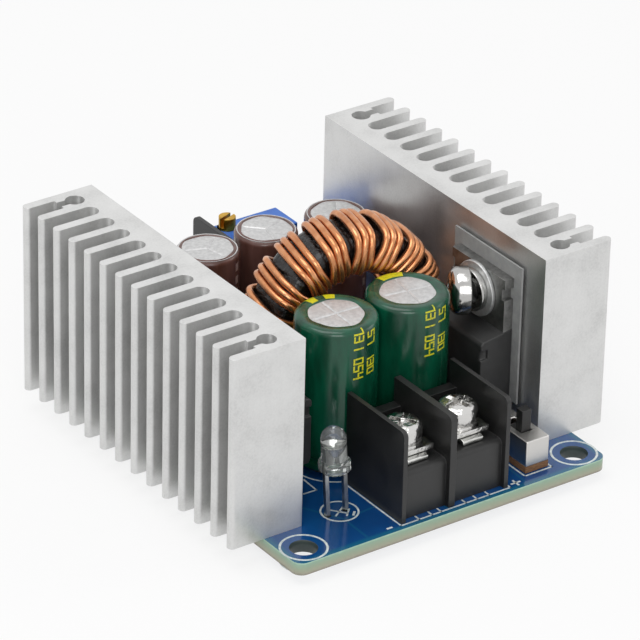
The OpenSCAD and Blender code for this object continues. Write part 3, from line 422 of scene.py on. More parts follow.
LEAD_NODES = ("capacitor_leads", "input_terminal_contacts", "output_terminal_contacts", "led_leads",
              "switch_pins", "trimmer_pins", "transistor_leadframe", "rectifier_leadframe",
              "winding_strand_a", "winding_strand_b", "winding_strand_c")
lead_ends = []
for node in LEAD_NODES:
    for low, high in islands(node, 0.35 * MM):
        if low.z < 0.1 * MM:
            reach = max(high.x - low.x, high.y - low.y) / 2 / MM
            lead_ends.append(((low.x + high.x) / 2, (low.y + high.y) / 2, reach))

# Tin solder, hand finished: bright, a little cloudy where the flux was wiped.
solder, tree, shader = finish_of("tin_solder", {"Metallic": 1, "Roughness": 0.28})
cloud = add(tree, "ShaderNodeTexNoise", {}, {"Vector": in_mm(tree), "Scale": 1.6, "Detail": 4}).outputs["Fac"]
tree.links.new(add(tree, "ShaderNodeValToRGB", {"stops": [(0.3, "#9a9c9e"), (0.7, "#c9cbcd")]},
                   {"Fac": cloud}).outputs[0], shader.inputs["Base Color"])
bumped(tree, shader, cloud, 0.05, 0.6)

under = board_lo.z / MM
fillet = [(0, 0.02), (1.65, 0.02), (1.7, -0.02)]
fillet += [(1.7 - 0.78 * math.sin(a), -0.02 - 0.62 * (1 - math.cos(a)))
           for a in (math.radians(d) for d in range(15, 91, 15))]
fillet += [(0.8, -0.72), (0, -0.76)]
cone = made_from(lathe(fillet, 20), "fillet")
joint_mesh = copies(cone, [((x, y, under * MM), (0, 0, 2.4 * i), (0.45 + 0.5 * r, 0.45 + 0.5 * r, 0.95))
                           for i, (x, y, r) in enumerate(lead_ends)], solder)
plain("solder_fillets", joint_mesh, solder, ["solder_joints"])

# ---- heatsinks ----
# Two lengths sawn from one extruded aluminium profile: a back plate, fourteen fins and a screw
# channel in each outer gap. They stand on the board and carry the power devices.

# Extruded 6063 aluminium, etched after sawing: pale satin grey that scatters much of the light, with
# faint die lines along the extrusion and cloudy patches from handling.
profile_metal, tree, shader = finish_of("extruded_aluminium_6063", {})
die_lines = add(tree, "ShaderNodeTexNoise", {}, {
    "Vector": in_mm(tree, (1, 1, 0.02)), "Scale": 3.2, "Detail": 4, "Roughness": 0.65}).outputs["Fac"]
patches = add(tree, "ShaderNodeTexNoise", {}, {
    "Vector": in_mm(tree), "Scale": 0.22, "Detail": 4, "Roughness": 0.55}).outputs["Fac"]
pits = add(tree, "ShaderNodeTexNoise", {}, {"Vector": in_mm(tree), "Scale": 4, "Detail": 3}).outputs["Fac"]
shade = add(tree, "ShaderNodeMix", {"data_type": "FLOAT"}, {0: 0.12, 2: patches, 3: die_lines}).outputs[0]
shade = add(tree, "ShaderNodeMix", {"data_type": "FLOAT"}, {0: 0.3, 2: shade, 3: pits}).outputs[0]
tree.links.new(add(tree, "ShaderNodeValToRGB", {"stops": [(0.32, "#c6c6c5"), (0.5, "#d6d6d5"), (0.68, "#dededd")]},
                   {"Fac": shade}).outputs[0], shader.inputs["Base Color"])
tree.links.new(add(tree, "ShaderNodeMapRange", {}, {
    "Value": patches, "From Min": 0.3, "From Max": 0.7, "To Min": 0.29, "To Max": 0.4}).outputs[0],
    shader.inputs["Roughness"])
# the plate's inner face was milled flat for the devices, so it mirrors more than the etched fins
across = add(tree, "ShaderNodeSeparateXYZ", {}, {"Vector": in_mm(tree)}).outputs["X"]
across = add(tree, "ShaderNodeMath", {"operation": "ABSOLUTE"}, {0: across}).outputs[0]
plate_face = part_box("heatsink_right")[0].x / MM
tree.links.new(add(tree, "ShaderNodeMapRange", {}, {
    "Value": across, "From Min": plate_face + 0.05, "From Max": plate_face + 0.3, "To Min": 0.9, "To Max": 0.6}).outputs[0],
    shader.inputs["Metallic"])
relief = add(tree, "ShaderNodeMix", {"data_type": "FLOAT"}, {0: 0.15, 2: pits, 3: die_lines}).outputs[0]
bumped(tree, shader, relief, 0.02, 0.4)

for side in ("left", "right"):
    plain("heatsink_" + side + "_extrusion", rounded("heatsink_" + side, 0.1, 2), profile_metal,
          ["heatsink_" + side])

# ---- power devices ----
# A TO-220 transistor and a TO-220 rectifier: a sheared copper tab, tinned, with a moulded epoxy
# case, clamped over a grey silicone pad by a screw with a flat and a spring washer.

# Silicone sheet on glass cloth: matt grey with the cloth's faint weave.
pad_sheet, tree, shader = finish_of("silicone_pad", {"Roughness": 0.6, "Specular IOR Level": 0.4})
weave = add(tree, "ShaderNodeTexMagic", {"turbulence_depth": 1}, {
    "Vector": in_mm(tree), "Scale": 6, "Distortion": 0.6}).outputs["Fac"]
mottle = add(tree, "ShaderNodeTexNoise", {}, {"Vector": in_mm(tree), "Scale": 0.9, "Detail": 4}).outputs["Fac"]
tree.links.new(add(tree, "ShaderNodeValToRGB", {"stops": [(0.3, "#858686"), (0.7, "#969796")]},
                   {"Fac": mottle}).outputs[0], shader.inputs["Base Color"])
bumped(tree, shader, weave, 0.02, 0.4)

# Moulded epoxy compound: near black, matt from the eroded mould, with a slight sheen at its edges.
epoxy, tree, shader = finish_of("moulded_epoxy", {"Roughness": 0.5, "IOR": 1.55})
grit = add(tree, "ShaderNodeTexNoise", {}, {"Vector": in_mm(tree), "Scale": 9, "Detail": 2}).outputs["Fac"]
drift = add(tree, "ShaderNodeTexNoise", {}, {"Vector": in_mm(tree), "Scale": 0.4, "Detail": 2}).outputs["Fac"]
tree.links.new(add(tree, "ShaderNodeValToRGB", {"stops": [(0.3, "#202020"), (0.7, "#2d2d2d")]},
                   {"Fac": drift}).outputs[0], shader.inputs["Base Color"])
bumped(tree, shader, grit, 0.02, 0.6)

# Tinned copper strip: dull silver, rough and torn on its sheared sides.
strip, tree, shader = finish_of("tinned_copper_strip", {"Metallic": 1, "Roughness": 0.42})
scuffs = add(tree, "ShaderNodeTexNoise", {}, {"Vector": in_mm(tree), "Scale": 1.1, "Detail": 6,
                                              "Roughness": 0.7}).outputs["Fac"]
tree.links.new(add(tree, "ShaderNodeValToRGB", {"stops": [(0.3, "#7c7c7b"), (0.7, "#a2a2a0")]},
                   {"Fac": scuffs}).outputs[0], shader.inputs["Base Color"])
tree.links.new(add(tree, "ShaderNodeMapRange", {}, {
    "Value": scuffs, "To Min": 0.28, "To Max": 0.55}).outputs[0], shader.inputs["Roughness"])
bumped(tree, shader, scuffs, 0.06, 0.5)

STANDS_OFF = {-1: Vector((0, 1.0, 0)), 1: Vector((-0.3, 0.6, 0))}


def set_off(made):
    """Moves the devices on each side to where their screws pulled them, in mm; their legs lean."""
    for v in made.vertices:
        raised = min(1, max(0, (v.co.z / MM - top_z - 0.5) / 3))
        v.co += STANDS_OFF[-1 if v.co.x < 0 else 1] * raised * MM
    return made


def case_mesh(device):
    """The moulded case, which also covers the sides of the tab down to the pad."""
    made = rounded(device + "_case", 0.18, 3)
    low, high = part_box(device + "_case")
    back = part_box(device + "_pad")[1 if high.x < 0 else 0].x
    face = low.x if high.x < 0 else high.x
    middle = (low.y + high.y) / 2
    for v in made.vertices:
        if abs(v.co.x - face) < 0.2 * MM:
            v.co.x += back - face
        if min(v.co.y - low.y, high.y - v.co.y) < 0.3 * MM:
            v.co.y += math.copysign(0.12 * MM, v.co.y - middle)
    return made


for device in ("transistor", "rectifier"):
    plain(device + "_insulator", set_off(rounded(device + "_pad", 0.06, 1)), pad_sheet,
          [device + "_pad"])
    plain(device + "_body", set_off(case_mesh(device)), epoxy, [device + "_case"])
    plain(device + "_tab_and_legs", set_off(rounded(device + "_leadframe", 0.07, 2)), strip,
          [device + "_leadframe"])

# ---- clamp screws ----
# M3 pan-head screws with a cross recess. The rolled steel is nickel plated and polished bright,
# so it mirrors its neighbours.


def screw_head(radius, height, recess, slot=0.0, dome=0.55):
    """A pan head on z = 0 with a tapered cross recess, in mm; slot is a straight slot's width, dome its round share."""
    crown = height * dome
    profile = [(0, 0), (radius * 0.97, 0), (radius, 0.12), (radius, height - crown)]
    profile += [(radius - crown * 0.9 * (1 - math.cos(a)) * 1.1, height - crown + crown * math.sin(a) * 0.93)
                for a in (math.radians(d) for d in range(12, 85, 12))]
    profile += [(radius * 0.45, height - 0.03), (radius * 0.2, height), (0, height)]
    head = bpy.data.objects.new("head", made_from(lathe(profile, 72), "head"))
    cut = bmesh.new()
    for turn in (0, 90):
        arm = [(-recess, -0.36), (recess, -0.36), (recess, 0.36), (-recess, 0.36)]
        spin = Matrix.Rotation(math.radians(turn), 4, "Z")
        rims = []
        for shrink, z in ((1.06, height + 0.3), (0.5, height * 0.6)):
            rims.append([cut.verts.new(spin @ Vector((x * shrink * MM, y * (0.55 + 0.45 * shrink) * MM, z * MM)))
                         for x, y in arm])
        cut.faces.new(rims[0])
        cut.faces.new(rims[1][::-1])
        for i in range(4):
            cut.faces.new((rims[0][i - 1], rims[0][i], rims[1][i], rims[1][i - 1]))
    cutters = [bpy.data.objects.new("cut", made_from(cut, "cut"))]
    if slot:
        groove = bmesh.new()
        flat_box(groove, [(-radius - 1, -slot / 2), (radius + 1, -slot / 2),
                          (radius + 1, slot / 2), (-radius - 1, slot / 2)], height * 0.78, height + 1)
        cutters.append(bpy.data.objects.new("cut", made_from(groove, "cut")))
    for item in [head] + cutters:
        bpy.context.scene.collection.objects.link(item)
    for item in cutters:
        drill = head.modifiers.new("recess", "BOOLEAN")
        drill.operation = "DIFFERENCE"
        drill.object = item
        drill.solver = "EXACT"
        drill.use_self = True
    soften = head.modifiers.new("edges", "BEVEL")
    soften.width = 0.05 * MM
    soften.segments = 2
    soften.limit_method = "ANGLE"
    soften.angle_limit = math.radians(40)
    soften.harden_normals = True
    done = bpy.data.meshes.new_from_object(head.evaluated_get(bpy.context.evaluated_depsgraph_get()))
    for item in [head] + cutters:
        bpy.data.objects.remove(item)
    return done


# Nickel-plated steel: mirror bright. The clamp screws are smooth, while the terminals' screws and
# washers are dented by the driver and the tumbler, so their highlights break up.
plating = {}
for name, dent_mm, dent_scale, tone_code in (("polished", 0.05, 0.8, "#b6b5b3"), ("tumbled", 0.16, 1.1, "#d2d1cf")):
    made, tree, shader = finish_of("nickel_plated_steel_" + name, {"Metallic": 1})
    dents = add(tree, "ShaderNodeTexNoise", {}, {
        "Vector": in_mm(tree), "Scale": dent_scale, "Detail": 3, "Roughness": 0.5}).outputs["Fac"]
    tree.links.new(add(tree, "ShaderNodeMapRange", {}, {
        "Value": dents, "From Min": 0.35, "From Max": 0.7, "To Min": 0.1, "To Max": 0.24}).outputs[0],
        shader.inputs["Roughness"])
    shader.inputs["Base Color"].default_value = linear(tone_code)
    bumped(tree, shader, dents, dent_mm, 0.8)
    plating[name] = made
plated = plating["polished"]

clamp_head = screw_head(2.9, 2.5, 1.75)
clamp_places = []
for low, high in islands("clamp_screws"):
    inward = 1 if low.x < 0 else -1
    face = (high.x if inward > 0 else low.x) - inward * 1.9 * MM
    spot = Vector((face, (low.y + high.y) / 2, (low.z + high.z) / 2)) + STANDS_OFF[-inward] * MM
    clamp_places.append((spot,
                         (0.5 * inward, inward * math.pi / 2, 0), (1, 1, 1)))
plain("clamp_screw_heads", copies(clamp_head, clamp_places, plated), plated, ["clamp_screws"])
plain("clamp_lock_washers", set_off(rounded("clamp_spring_washers", 0.1, 2)), plated,
      ["clamp_spring_washers"])

# Zinc-plated washer, tumbled: an even pale grey satin beside the polished head.
zinced, tree, shader = finish_of("zinc_plated_washer", {"Metallic": 0.8, "Roughness": 0.42})
tumbled = add(tree, "ShaderNodeTexNoise", {}, {"Vector": in_mm(tree), "Scale": 1.8, "Detail": 4}).outputs["Fac"]
tree.links.new(add(tree, "ShaderNodeValToRGB", {"stops": [(0.3, "#b2b3b3"), (0.7, "#cfd0cf")]},
                   {"Fac": tumbled}).outputs[0], shader.inputs["Base Color"])
bumped(tree, shader, tumbled, 0.02, 0.4)
plain("clamp_washers", set_off(rounded("clamp_flat_washers", 0.1, 2)), zinced, ["clamp_flat_washers"])

# ---- inductor core ----
# A powdered-iron ring standing on edge, wound overlapping with black polyester tape before the
# wire goes on. The tape creases over the ring's corners and shows a step at each lap.

low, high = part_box("inductor_core")
coil_at = (low + high) / 2
COIL_TURN = math.radians(-4)
CORE_R, CORE_BORE_R, CORE_W, CORE_ROUND = 11.4, 7.85, 6.8, 1.25
LAPS, LAP_STEP = 19, 0.07
coil_place = Matrix.Translation(coil_at) @ Matrix.Rotation(COIL_TURN, 4, "Z")


def section_points(count):
    """Points and outward directions round the core's section, about its middle, in mm."""
    half_w, half_r = CORE_W / 2, (CORE_R - CORE_BORE_R) / 2
    flat_y, flat_r = half_w - CORE_ROUND, half_r - CORE_ROUND
    quarter = CORE_ROUND * math.pi / 2
    sides = [(2 * flat_y, 0), (quarter, 1), (2 * flat_r, 0), (quarter, 1)] * 2
    total, out = sum(s for s, _ in sides), []
    for i in range(count):
        run, turned, at = total * i / count, 0.0, Vector((-flat_y, half_r))
        for length, curved in sides:
            here = min(run, length)
            heading = turned - here / CORE_ROUND if curved else turned
            if curved:
                middle = at + Vector((math.sin(turned), -math.cos(turned))) * CORE_ROUND
                at_now = middle + Vector((-math.sin(heading), math.cos(heading))) * CORE_ROUND
            else:
                at_now = at + Vector((math.cos(turned), math.sin(turned))) * here
            if run <= length:
                break
            run, at, turned = run - length, at_now, heading
        out.append((at_now, Vector((-math.sin(heading), math.cos(heading)))))
    return out


core_mesh = bmesh.new()
around, along = 64, 480
section = section_points(around)
rows = []
for i in range(along):
    angle = 2 * math.pi * i / along
    row = []
    for k, (p, out) in enumerate(section):
        lap = (LAPS * i / along + k / around) % 1
        crease = noise.noise(Vector((angle * 11, k * 0.35, 3.0))) * 0.5 + noise.noise(Vector((angle * 26, k * 0.16, 8.0)))
        rise = LAP_STEP * (1 - lap) - 0.05 + 0.045 * crease
        y, r = p.x + out.x * rise, (CORE_R + CORE_BORE_R) / 2 + p.y + out.y * rise
        row.append(core_mesh.verts.new(coil_place @ Vector((r * math.cos(angle) * MM, y * MM,
                                                            r * math.sin(angle) * MM))))
    rows.append(row)
for i in range(along):
    for k in range(around):
        core_mesh.faces.new((rows[i][k], rows[i - 1][k], rows[i - 1][k - 1], rows[i][k - 1]))

# Polyester film tape, black: glossy film that creases, so highlights break into short streaks.
tape, tree, shader = finish_of("polyester_tape", {"Roughness": 0.2, "IOR": 1.45})
crinkle = add(tree, "ShaderNodeTexNoise", {}, {
    "Vector": in_mm(tree), "Scale": 0.8, "Detail": 4, "Roughness": 0.55, "Distortion": 1.6}).outputs["Fac"]
tree.links.new(add(tree, "ShaderNodeValToRGB", {"stops": [(0.35, "#0a0a0b"), (0.7, "#161617")]},
                   {"Fac": crinkle}).outputs[0], shader.inputs["Base Color"])
bumped(tree, shader, crinkle, 0.22, 0.9)
plain("taped_core", made_from(core_mesh, "taped_core"), tape, ["inductor_core"])

# ---- winding ----
# Fourteen turns of three 0.9 mm enamelled copper wires side by side. Each turn is pulled tight
# over the core by hand, so the strands fan out round the rim and crowd in the bore.

WIRE_R, TURNS, PITCH, START = 0.45, 14, 20, 226
PATH_OUT, PATH_IN, PATH_W = 11.95, 7.35, 3.85
RIM_BEND, BORE_BEND = 1.7, 1.0
STRAND_OUT, STRAND_IN, SECOND_LAYER = 4.75, 6.67, 0.35


def on_ring(angle, radius, y):
    a = math.radians(angle)
    return Vector((radius * math.cos(a), y, radius * math.sin(a)))


def strand_points(strand, ends):
    """The line of one strand in mm about the ring's middle, from one board hole to the other."""
    rand = np.random.default_rng(31 + strand)
    points = []
    for k in range(TURNS):
        slip, lift = rand.uniform(-0.3, 0.3, 4), rand.uniform(0, 0.12, 3)
        a = START - PITCH * k
        so, si = strand * STRAND_OUT, strand * STRAND_IN
        rim, bore = 0.29 * RIM_BEND, 0.29 * BORE_BEND
        inner = PATH_IN - (SECOND_LAYER if strand == 0 else 0)
        points += [on_ring(a + so + slip[0], PATH_OUT - rim, -PATH_W + rim),
                   on_ring(a + so - 0.6 + slip[0], PATH_OUT + lift[0], -PATH_W + RIM_BEND),
                   on_ring(a + so - 3.4 + slip[1], PATH_OUT + lift[1], PATH_W - RIM_BEND),
                   on_ring(a + so - 4 + slip[1], PATH_OUT - rim, PATH_W - rim),
                   on_ring(a + so - 5 + slip[1], PATH_OUT - RIM_BEND, PATH_W),
                   on_ring(a + si - 7, inner + BORE_BEND, PATH_W),
                   on_ring(a + si - 8, inner + bore, PATH_W - bore),
                   on_ring(a + si - 9, inner, PATH_W - BORE_BEND),
                   on_ring(a + si - 15, inner, -PATH_W + BORE_BEND),
                   on_ring(a + si - 16, inner + bore, -PATH_W + bore),
                   on_ring(a + si - 17, inner + BORE_BEND, -PATH_W),
                   on_ring(a + so - 19 + slip[2], PATH_OUT - RIM_BEND, -PATH_W)]
    back = coil_place.inverted()
    first, last = (back @ Vector((x, y, board_hi.z + 0.6 * MM)) / MM for x, y in ends)
    deep = (board_hi.z + 0.6 * MM - 0.02 * MM) / MM
    points = [first - Vector((0, 0, deep)), first] + points
    points += [on_ring(START - PITCH * TURNS + strand * STRAND_OUT, PATH_OUT - 0.3, -PATH_W + 0.3),
               last, last - Vector((0, 0, deep))]
    return points


def smooth_line(points, parts):
    """Points of a smooth line through the given points (centripetal spline), in order."""
    line = []
    padded = [2 * points[0] - points[1]] + points + [2 * points[-1] - points[-2]]
    for p0, p1, p2, p3 in zip(padded, padded[1:], padded[2:], padded[3:]):
        t = [0.0]
        for a, b in ((p0, p1), (p1, p2), (p2, p3)):
            t.append(t[-1] + max((b - a).length, 1e-6) ** 0.5)
        for i in range(parts):
            u = t[1] + (t[2] - t[1]) * i / parts
            a1 = p0 * ((t[1] - u) / (t[1] - t[0])) + p1 * ((u - t[0]) / (t[1] - t[0]))
            a2 = p1 * ((t[2] - u) / (t[2] - t[1])) + p2 * ((u - t[1]) / (t[2] - t[1]))
            a3 = p2 * ((t[3] - u) / (t[3] - t[2])) + p3 * ((u - t[2]) / (t[3] - t[2]))
            b1 = a1 * ((t[2] - u) / (t[2] - t[0])) + a2 * ((u - t[0]) / (t[2] - t[0]))
            b2 = a2 * ((t[3] - u) / (t[3] - t[1])) + a3 * ((u - t[1]) / (t[3] - t[1]))
            line.append(b1 * ((t[2] - u) / (t[2] - t[1])) + b2 * ((u - t[1]) / (t[2] - t[1])))
    return line + [points[-1]]


def wire_tree():
    """Geometry Nodes that draw a round wire of a given radius along each edge line of a mesh."""
    tree = bpy.data.node_groups.new("round_wire", "GeometryNodeTree")
    for name, kind in (("Line", "NodeSocketGeometry"), ("Wire radius", "NodeSocketFloat"),
                       ("Sides", "NodeSocketInt"), ("Finish", "NodeSocketMaterial")):
        tree.interface.new_socket(name, in_out="INPUT", socket_type=kind)
    tree.interface.new_socket("Mesh", in_out="OUTPUT", socket_type="NodeSocketGeometry")
    given = add(tree, "NodeGroupInput").outputs
    path = add(tree, "GeometryNodeMeshToCurve", {}, {"Mesh": given["Line"]}).outputs[0]
    turned = add(tree, "GeometryNodeSetCurveNormal", {"mode": "MINIMUM_TWIST"}, {"Curve": path}).outputs[0]
    round_bar = add(tree, "GeometryNodeCurvePrimitiveCircle", {}, {
        "Resolution": given["Sides"], "Radius": given["Wire radius"]}).outputs[0]
    swept = add(tree, "GeometryNodeCurveToMesh", {}, {
        "Curve": turned, "Profile Curve": round_bar, "Fill Caps": True}).outputs[0]
    smooth = add(tree, "GeometryNodeSetShadeSmooth", {}, {"Geometry": swept}).outputs[0]
    real = add(tree, "GeometryNodeRealizeInstances", {}, {"Geometry": smooth}).outputs[0]
    done = add(tree, "GeometryNodeSetMaterial", {}, {"Geometry": real, "Material": given["Finish"]}).outputs[0]
    add(tree, "NodeGroupOutput", {}, {0: done})
    return tree


round_wire = wire_tree()

# Enamelled copper: bright drawn copper under a clear amber-pink enamel coat, slightly uneven.
enamelled, tree, shader = finish_of("enamelled_copper", {
    "Metallic": 0.88, "Roughness": 0.27, "Coat Weight": 0.3, "Coat Roughness": 0.12, "Coat IOR": 1.5})
tone = add(tree, "ShaderNodeTexNoise", {}, {"Vector": in_mm(tree), "Scale": 0.7, "Detail": 3}).outputs["Fac"]
tree.links.new(add(tree, "ShaderNodeValToRGB", {"stops": [(0.3, "#bb794d"), (0.55, "#cf8d5e"), (0.8, "#e0a67c")]},
                   {"Fac": tone}).outputs[0], shader.inputs["Base Color"])
bumped(tree, shader, tone, 0.03, 0.25)

for index, name in enumerate("abc"):
    node = "winding_strand_" + name
    ends = [((low.x + high.x) / 2, (low.y + high.y) / 2) for low, high in islands(node, 0.35 * MM)]
    line = smooth_line(strand_points(index - 1, ends), 5)
    wire_line = bpy.data.meshes.new("line")
    wire_line.from_pydata([coil_place @ (p * MM) for p in line], [(i, i + 1) for i in range(len(line) - 1)], [])
    wound = run_tree(bpy.data.objects.new("line", wire_line), round_wire,
                     {"Wire radius": WIRE_R * MM, "Sides": 12, "Finish": enamelled})
    plain("copper_strand_" + name, wound, enamelled, [node])

# ---- capacitors ----
# Aluminium electrolytic capacitors: a drawn can crimped onto a rubber seal, under a shrunk PET
# sleeve that laps over the shoulder. Vent grooves are pressed into the end.

# PET sleeve: thin glossy film shrunk on tight, with long soft ripples.
sleeves = {}
for name, dark, light in (("green", "#053d2a", "#0a5a40"), ("brown", "#55372f", "#70504a")):
    film, tree, shader = finish_of("pet_sleeve_" + name, {"Roughness": 0.2, "IOR": 1.5})
    ripple = add(tree, "ShaderNodeTexNoise", {}, {
        "Vector": in_mm(tree, (1, 1, 0.25)), "Scale": 0.55, "Detail": 3}).outputs["Fac"]
    tree.links.new(add(tree, "ShaderNodeValToRGB", {"stops": [(0.35, dark), (0.7, light)]},
                       {"Fac": ripple}).outputs[0], shader.inputs["Base Color"])
    bumped(tree, shader, ripple, 0.12, 0.35)
    sleeves[name] = film

# Can aluminium: etched and lacquered before drawing, so the end is a pale, even satin.
can_metal, tree, shader = finish_of("can_aluminium", {"Metallic": 0.55})
fleck = add(tree, "ShaderNodeTexNoise", {}, {"Vector": in_mm(tree), "Scale": 2.6, "Detail": 5}).outputs["Fac"]
tree.links.new(add(tree, "ShaderNodeValToRGB", {"stops": [(0.35, "#bfbfbf"), (0.65, "#d2d2d2")]},
                   {"Fac": fleck}).outputs[0], shader.inputs["Base Color"])
tree.links.new(add(tree, "ShaderNodeMapRange", {}, {
    "Value": fleck, "To Min": 0.42, "To Max": 0.52}).outputs[0], shader.inputs["Roughness"])
bumped(tree, shader, fleck, 0.008, 0.3)

# Sleeve print: one flat ink, yellow on green and pale grey on brown.
sleeve_inks = {}
for name, code in (("green", "#d9d21e"), ("brown", "#a8908a")):
    made, tree, shader = finish_of("sleeve_ink_" + name, {"Roughness": 0.32})
    thin = add(tree, "ShaderNodeTexNoise", {}, {"Vector": in_mm(tree), "Scale": 4, "Detail": 2}).outputs["Fac"]
    faded = {"green": "#a9ad2a", "brown": "#8a6f69"}[name]
    tree.links.new(add(tree, "ShaderNodeValToRGB", {"stops": [(0.35, faded), (0.5, code)]},
                       {"Fac": thin}).outputs[0], shader.inputs["Base Color"])
    sleeve_inks[name] = made

SLEEVE_T, CRIMP_R, CRIMP_UP, SHOULDER = 0.12, 0.45, 2.2, 0.7


def wall_points(r, foot, h, top_r, shoulder):
    """Radius and height round a can or sleeve, from its foot to the edge of its top, in mm."""
    arc = [(r + 0.05 + CRIMP_R * math.cos(math.radians(a)), CRIMP_UP + CRIMP_R * math.sin(math.radians(a)))
           for a in range(245, 114, -13)]
    bend = [(r - shoulder + shoulder * math.cos(math.radians(a)), h - shoulder + shoulder * math.sin(math.radians(a)))
            for a in range(0, 91, 9)]
    return [(r - 0.2, foot), (r, foot + 0.2), (r, CRIMP_UP - 0.55)] + arc + [(r, CRIMP_UP + 0.55), (r, h * 0.5)] + \
        bend + [(top_r, h)]


def capacitor(node, colour, disc_r, arms, vent_turn, marks):
    """Sleeve, can with a vented end, and print marks of one capacitor, placed by its CAD sleeve."""
    low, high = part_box(node + "_sleeve")
    r, h = (high.x - low.x) / 2 / MM, high.z / MM - top_z
    at = Matrix.Translation(((low.x + high.x) / 2, (low.y + high.y) / 2, top_z * MM))
    outer = wall_points(r, 0.95, h - 0.01, disc_r + 0.12, SHOULDER)
    inner = [(disc_r, h - 0.08), (disc_r + 0.02, h - 0.14), (r - SHOULDER, h - 0.14), (r - 0.16, h - SHOULDER - 0.1),
             (r - 0.16, CRIMP_UP + 0.6), (r - 0.55, CRIMP_UP), (r - 0.16, CRIMP_UP - 0.6), (r - 0.16, 1.3),
             (r - 0.7, 1.2), (r - 0.7, 0.95)]
    shell = lathe(outer + inner, 96, loop=True)
    rand = np.random.default_rng(sum(map(ord, node)))
    waves = rand.uniform(0, 6.28, 3)
    for v in shell.verts:
        a, reach = math.atan2(v.co.y, v.co.x), math.hypot(v.co.x, v.co.y) / MM
        if v.co.z > (h - 0.3) * MM and reach < disc_r + 0.3:
            swell = 1 + (0.03 * math.sin(3 * a + waves[0]) + 0.02 * math.sin(7 * a + waves[1])) * 0.8
            v.co.x, v.co.y = v.co.x * swell, v.co.y * swell
    shell.transform(at)
    plain(node + "_film", made_from(shell, "film"), sleeves[colour], [node + "_sleeve"])
    lid = [(0, 1.25)] + [(p, q) for p, q in wall_points(r - SLEEVE_T, 1.2, h - 0.06, disc_r + 0.5, SHOULDER)]
    rims = 30
    lid += [((disc_r + 0.4) * (1 - i / rims), h - 0.06) for i in range(rims)] + [(0, h - 0.06)]
    can = lathe(lid, 240)
    for v in can.verts:
        reach, a = math.hypot(v.co.x, v.co.y) / MM, math.atan2(v.co.y, v.co.x)
        if v.co.z > (h - 0.1) * MM and reach < disc_r + 0.45:
            apart = min(reach if math.cos(a - g) < 0 else abs(reach * math.sin(a - g))
                        for g in (math.radians(vent_turn + 360 * i / arms) for i in range(arms)))
            fade = min(1, max(0, (disc_r * 0.98 - reach) / 0.35))
            dip = (0.09 * math.exp(-(apart / 0.1) ** 2) + 0.05 * math.exp(-apart / 0.6)) * fade
            v.co.z -= (dip + 0.04 * (1 - fade)) * MM
    can.transform(at)
    plain(node + "_shell", made_from(can, "can"), can_metal, [node + "_can"])
    print_mesh = bmesh.new()
    line = [(p, q) for p, q in outer if q > 1.2]
    fine = []
    for (r0, z0), (r1, z1) in zip(line, line[1:]):
        parts = max(1, int(math.hypot(r1 - r0, z1 - z0) / 0.8))
        fine += [(r0 + (r1 - r0) * i / parts, z0 + (z1 - z0) * i / parts) for i in range(parts)]
    fine.append(line[-1])
    run = [0.0]
    for (r0, z0), (r1, z1) in zip(fine, fine[1:]):
        run.append(run[-1] + math.hypot(r1 - r0, z1 - z0))

    def on_film(s, lift):
        s = min(max(s, 0), run[-1] - 1e-6)
        i = next(n for n in range(len(run) - 1) if run[n + 1] > s)
        t = (s - run[i]) / (run[i + 1] - run[i])
        (r0, z0), (r1, z1) = fine[i], fine[i + 1]
        size = math.hypot(r1 - r0, z1 - z0)
        return (r0 + (r1 - r0) * t + lift * (z1 - z0) / size, z0 + (z1 - z0) * t - lift * (r1 - r0) / size)

    for a0, a1, s0, s1 in marks:
        s0, s1 = (s if s >= 0 else run[-1] + s + 1e-3 for s in (s0, s1))
        across, up = max(2, int(abs(a1 - a0) / 4) + 1), max(2, int((s1 - s0) / 0.25) + 1)
        grid = [[[None, None] for _ in range(up)] for _ in range(across)]
        for i in range(across):
            a = math.radians(a0 + (a1 - a0) * i / (across - 1))
            for j in range(up):
                for k, lift in enumerate((-0.02, 0.018)):
                    p, q = on_film(s0 + (s1 - s0) * j / (up - 1), lift)
                    grid[i][j][k] = print_mesh.verts.new((p * math.cos(a) * MM, p * math.sin(a) * MM, q * MM))
        for i in range(across - 1):
            for j in range(up - 1):
                for k in (0, 1):
                    print_mesh.faces.new((grid[i][j][k], grid[i + 1][j][k], grid[i + 1][j + 1][k], grid[i][j + 1][k]))
        rim = [grid[i][0] for i in range(across)] + [grid[across - 1][j] for j in range(1, up)] + \
            [grid[i][up - 1] for i in range(across - 2, -1, -1)] + [grid[0][j] for j in range(up - 2, 0, -1)]
        for one, two in zip(rim, rim[1:] + rim[:1]):
            print_mesh.faces.new((one[0], two[0], two[1], one[1]))
    print_mesh.transform(at)
    plain(node + "_print", made_from(print_mesh, "print"), sleeve_inks[colour])


SEGMENTS = {"0": "abcdef", "1": "bc", "3": "abgcd", "4": "fgbc", "5": "afgcd", "7": "abc"}
FIGURE_W, FIGURE_H, FIGURE_PEN, FIGURE_STEP = 0.62, 1.15, 0.2, 0.95


def figures(text, angle, start, sleeve_r=4.9):
    """Seven-segment figures that read down the sleeve from height start, as (angles, heights) blocks."""
    pen = FIGURE_PEN / 2
    w, h = FIGURE_W, FIGURE_H
    bars = {"a": (0, w, h, h), "g": (0, w, h / 2, h / 2), "d": (0, w, 0, 0), "f": (0, 0, h / 2, h),
            "b": (w, w, h / 2, h), "e": (0, 0, 0, h / 2), "c": (w, w, 0, h / 2)}
    blocks = []
    for i, figure in enumerate(text):
        for bar in SEGMENTS.get(figure, ""):
            x0, x1, y0, y1 = bars[bar]
            turns = [angle + math.degrees((y - h / 2) / sleeve_r) for y in (y0 - pen, y1 + pen)]
            foot = start - FIGURE_STEP * i
            blocks.append((*turns, foot - x1 - pen, foot - x0 + pen))
    return blocks


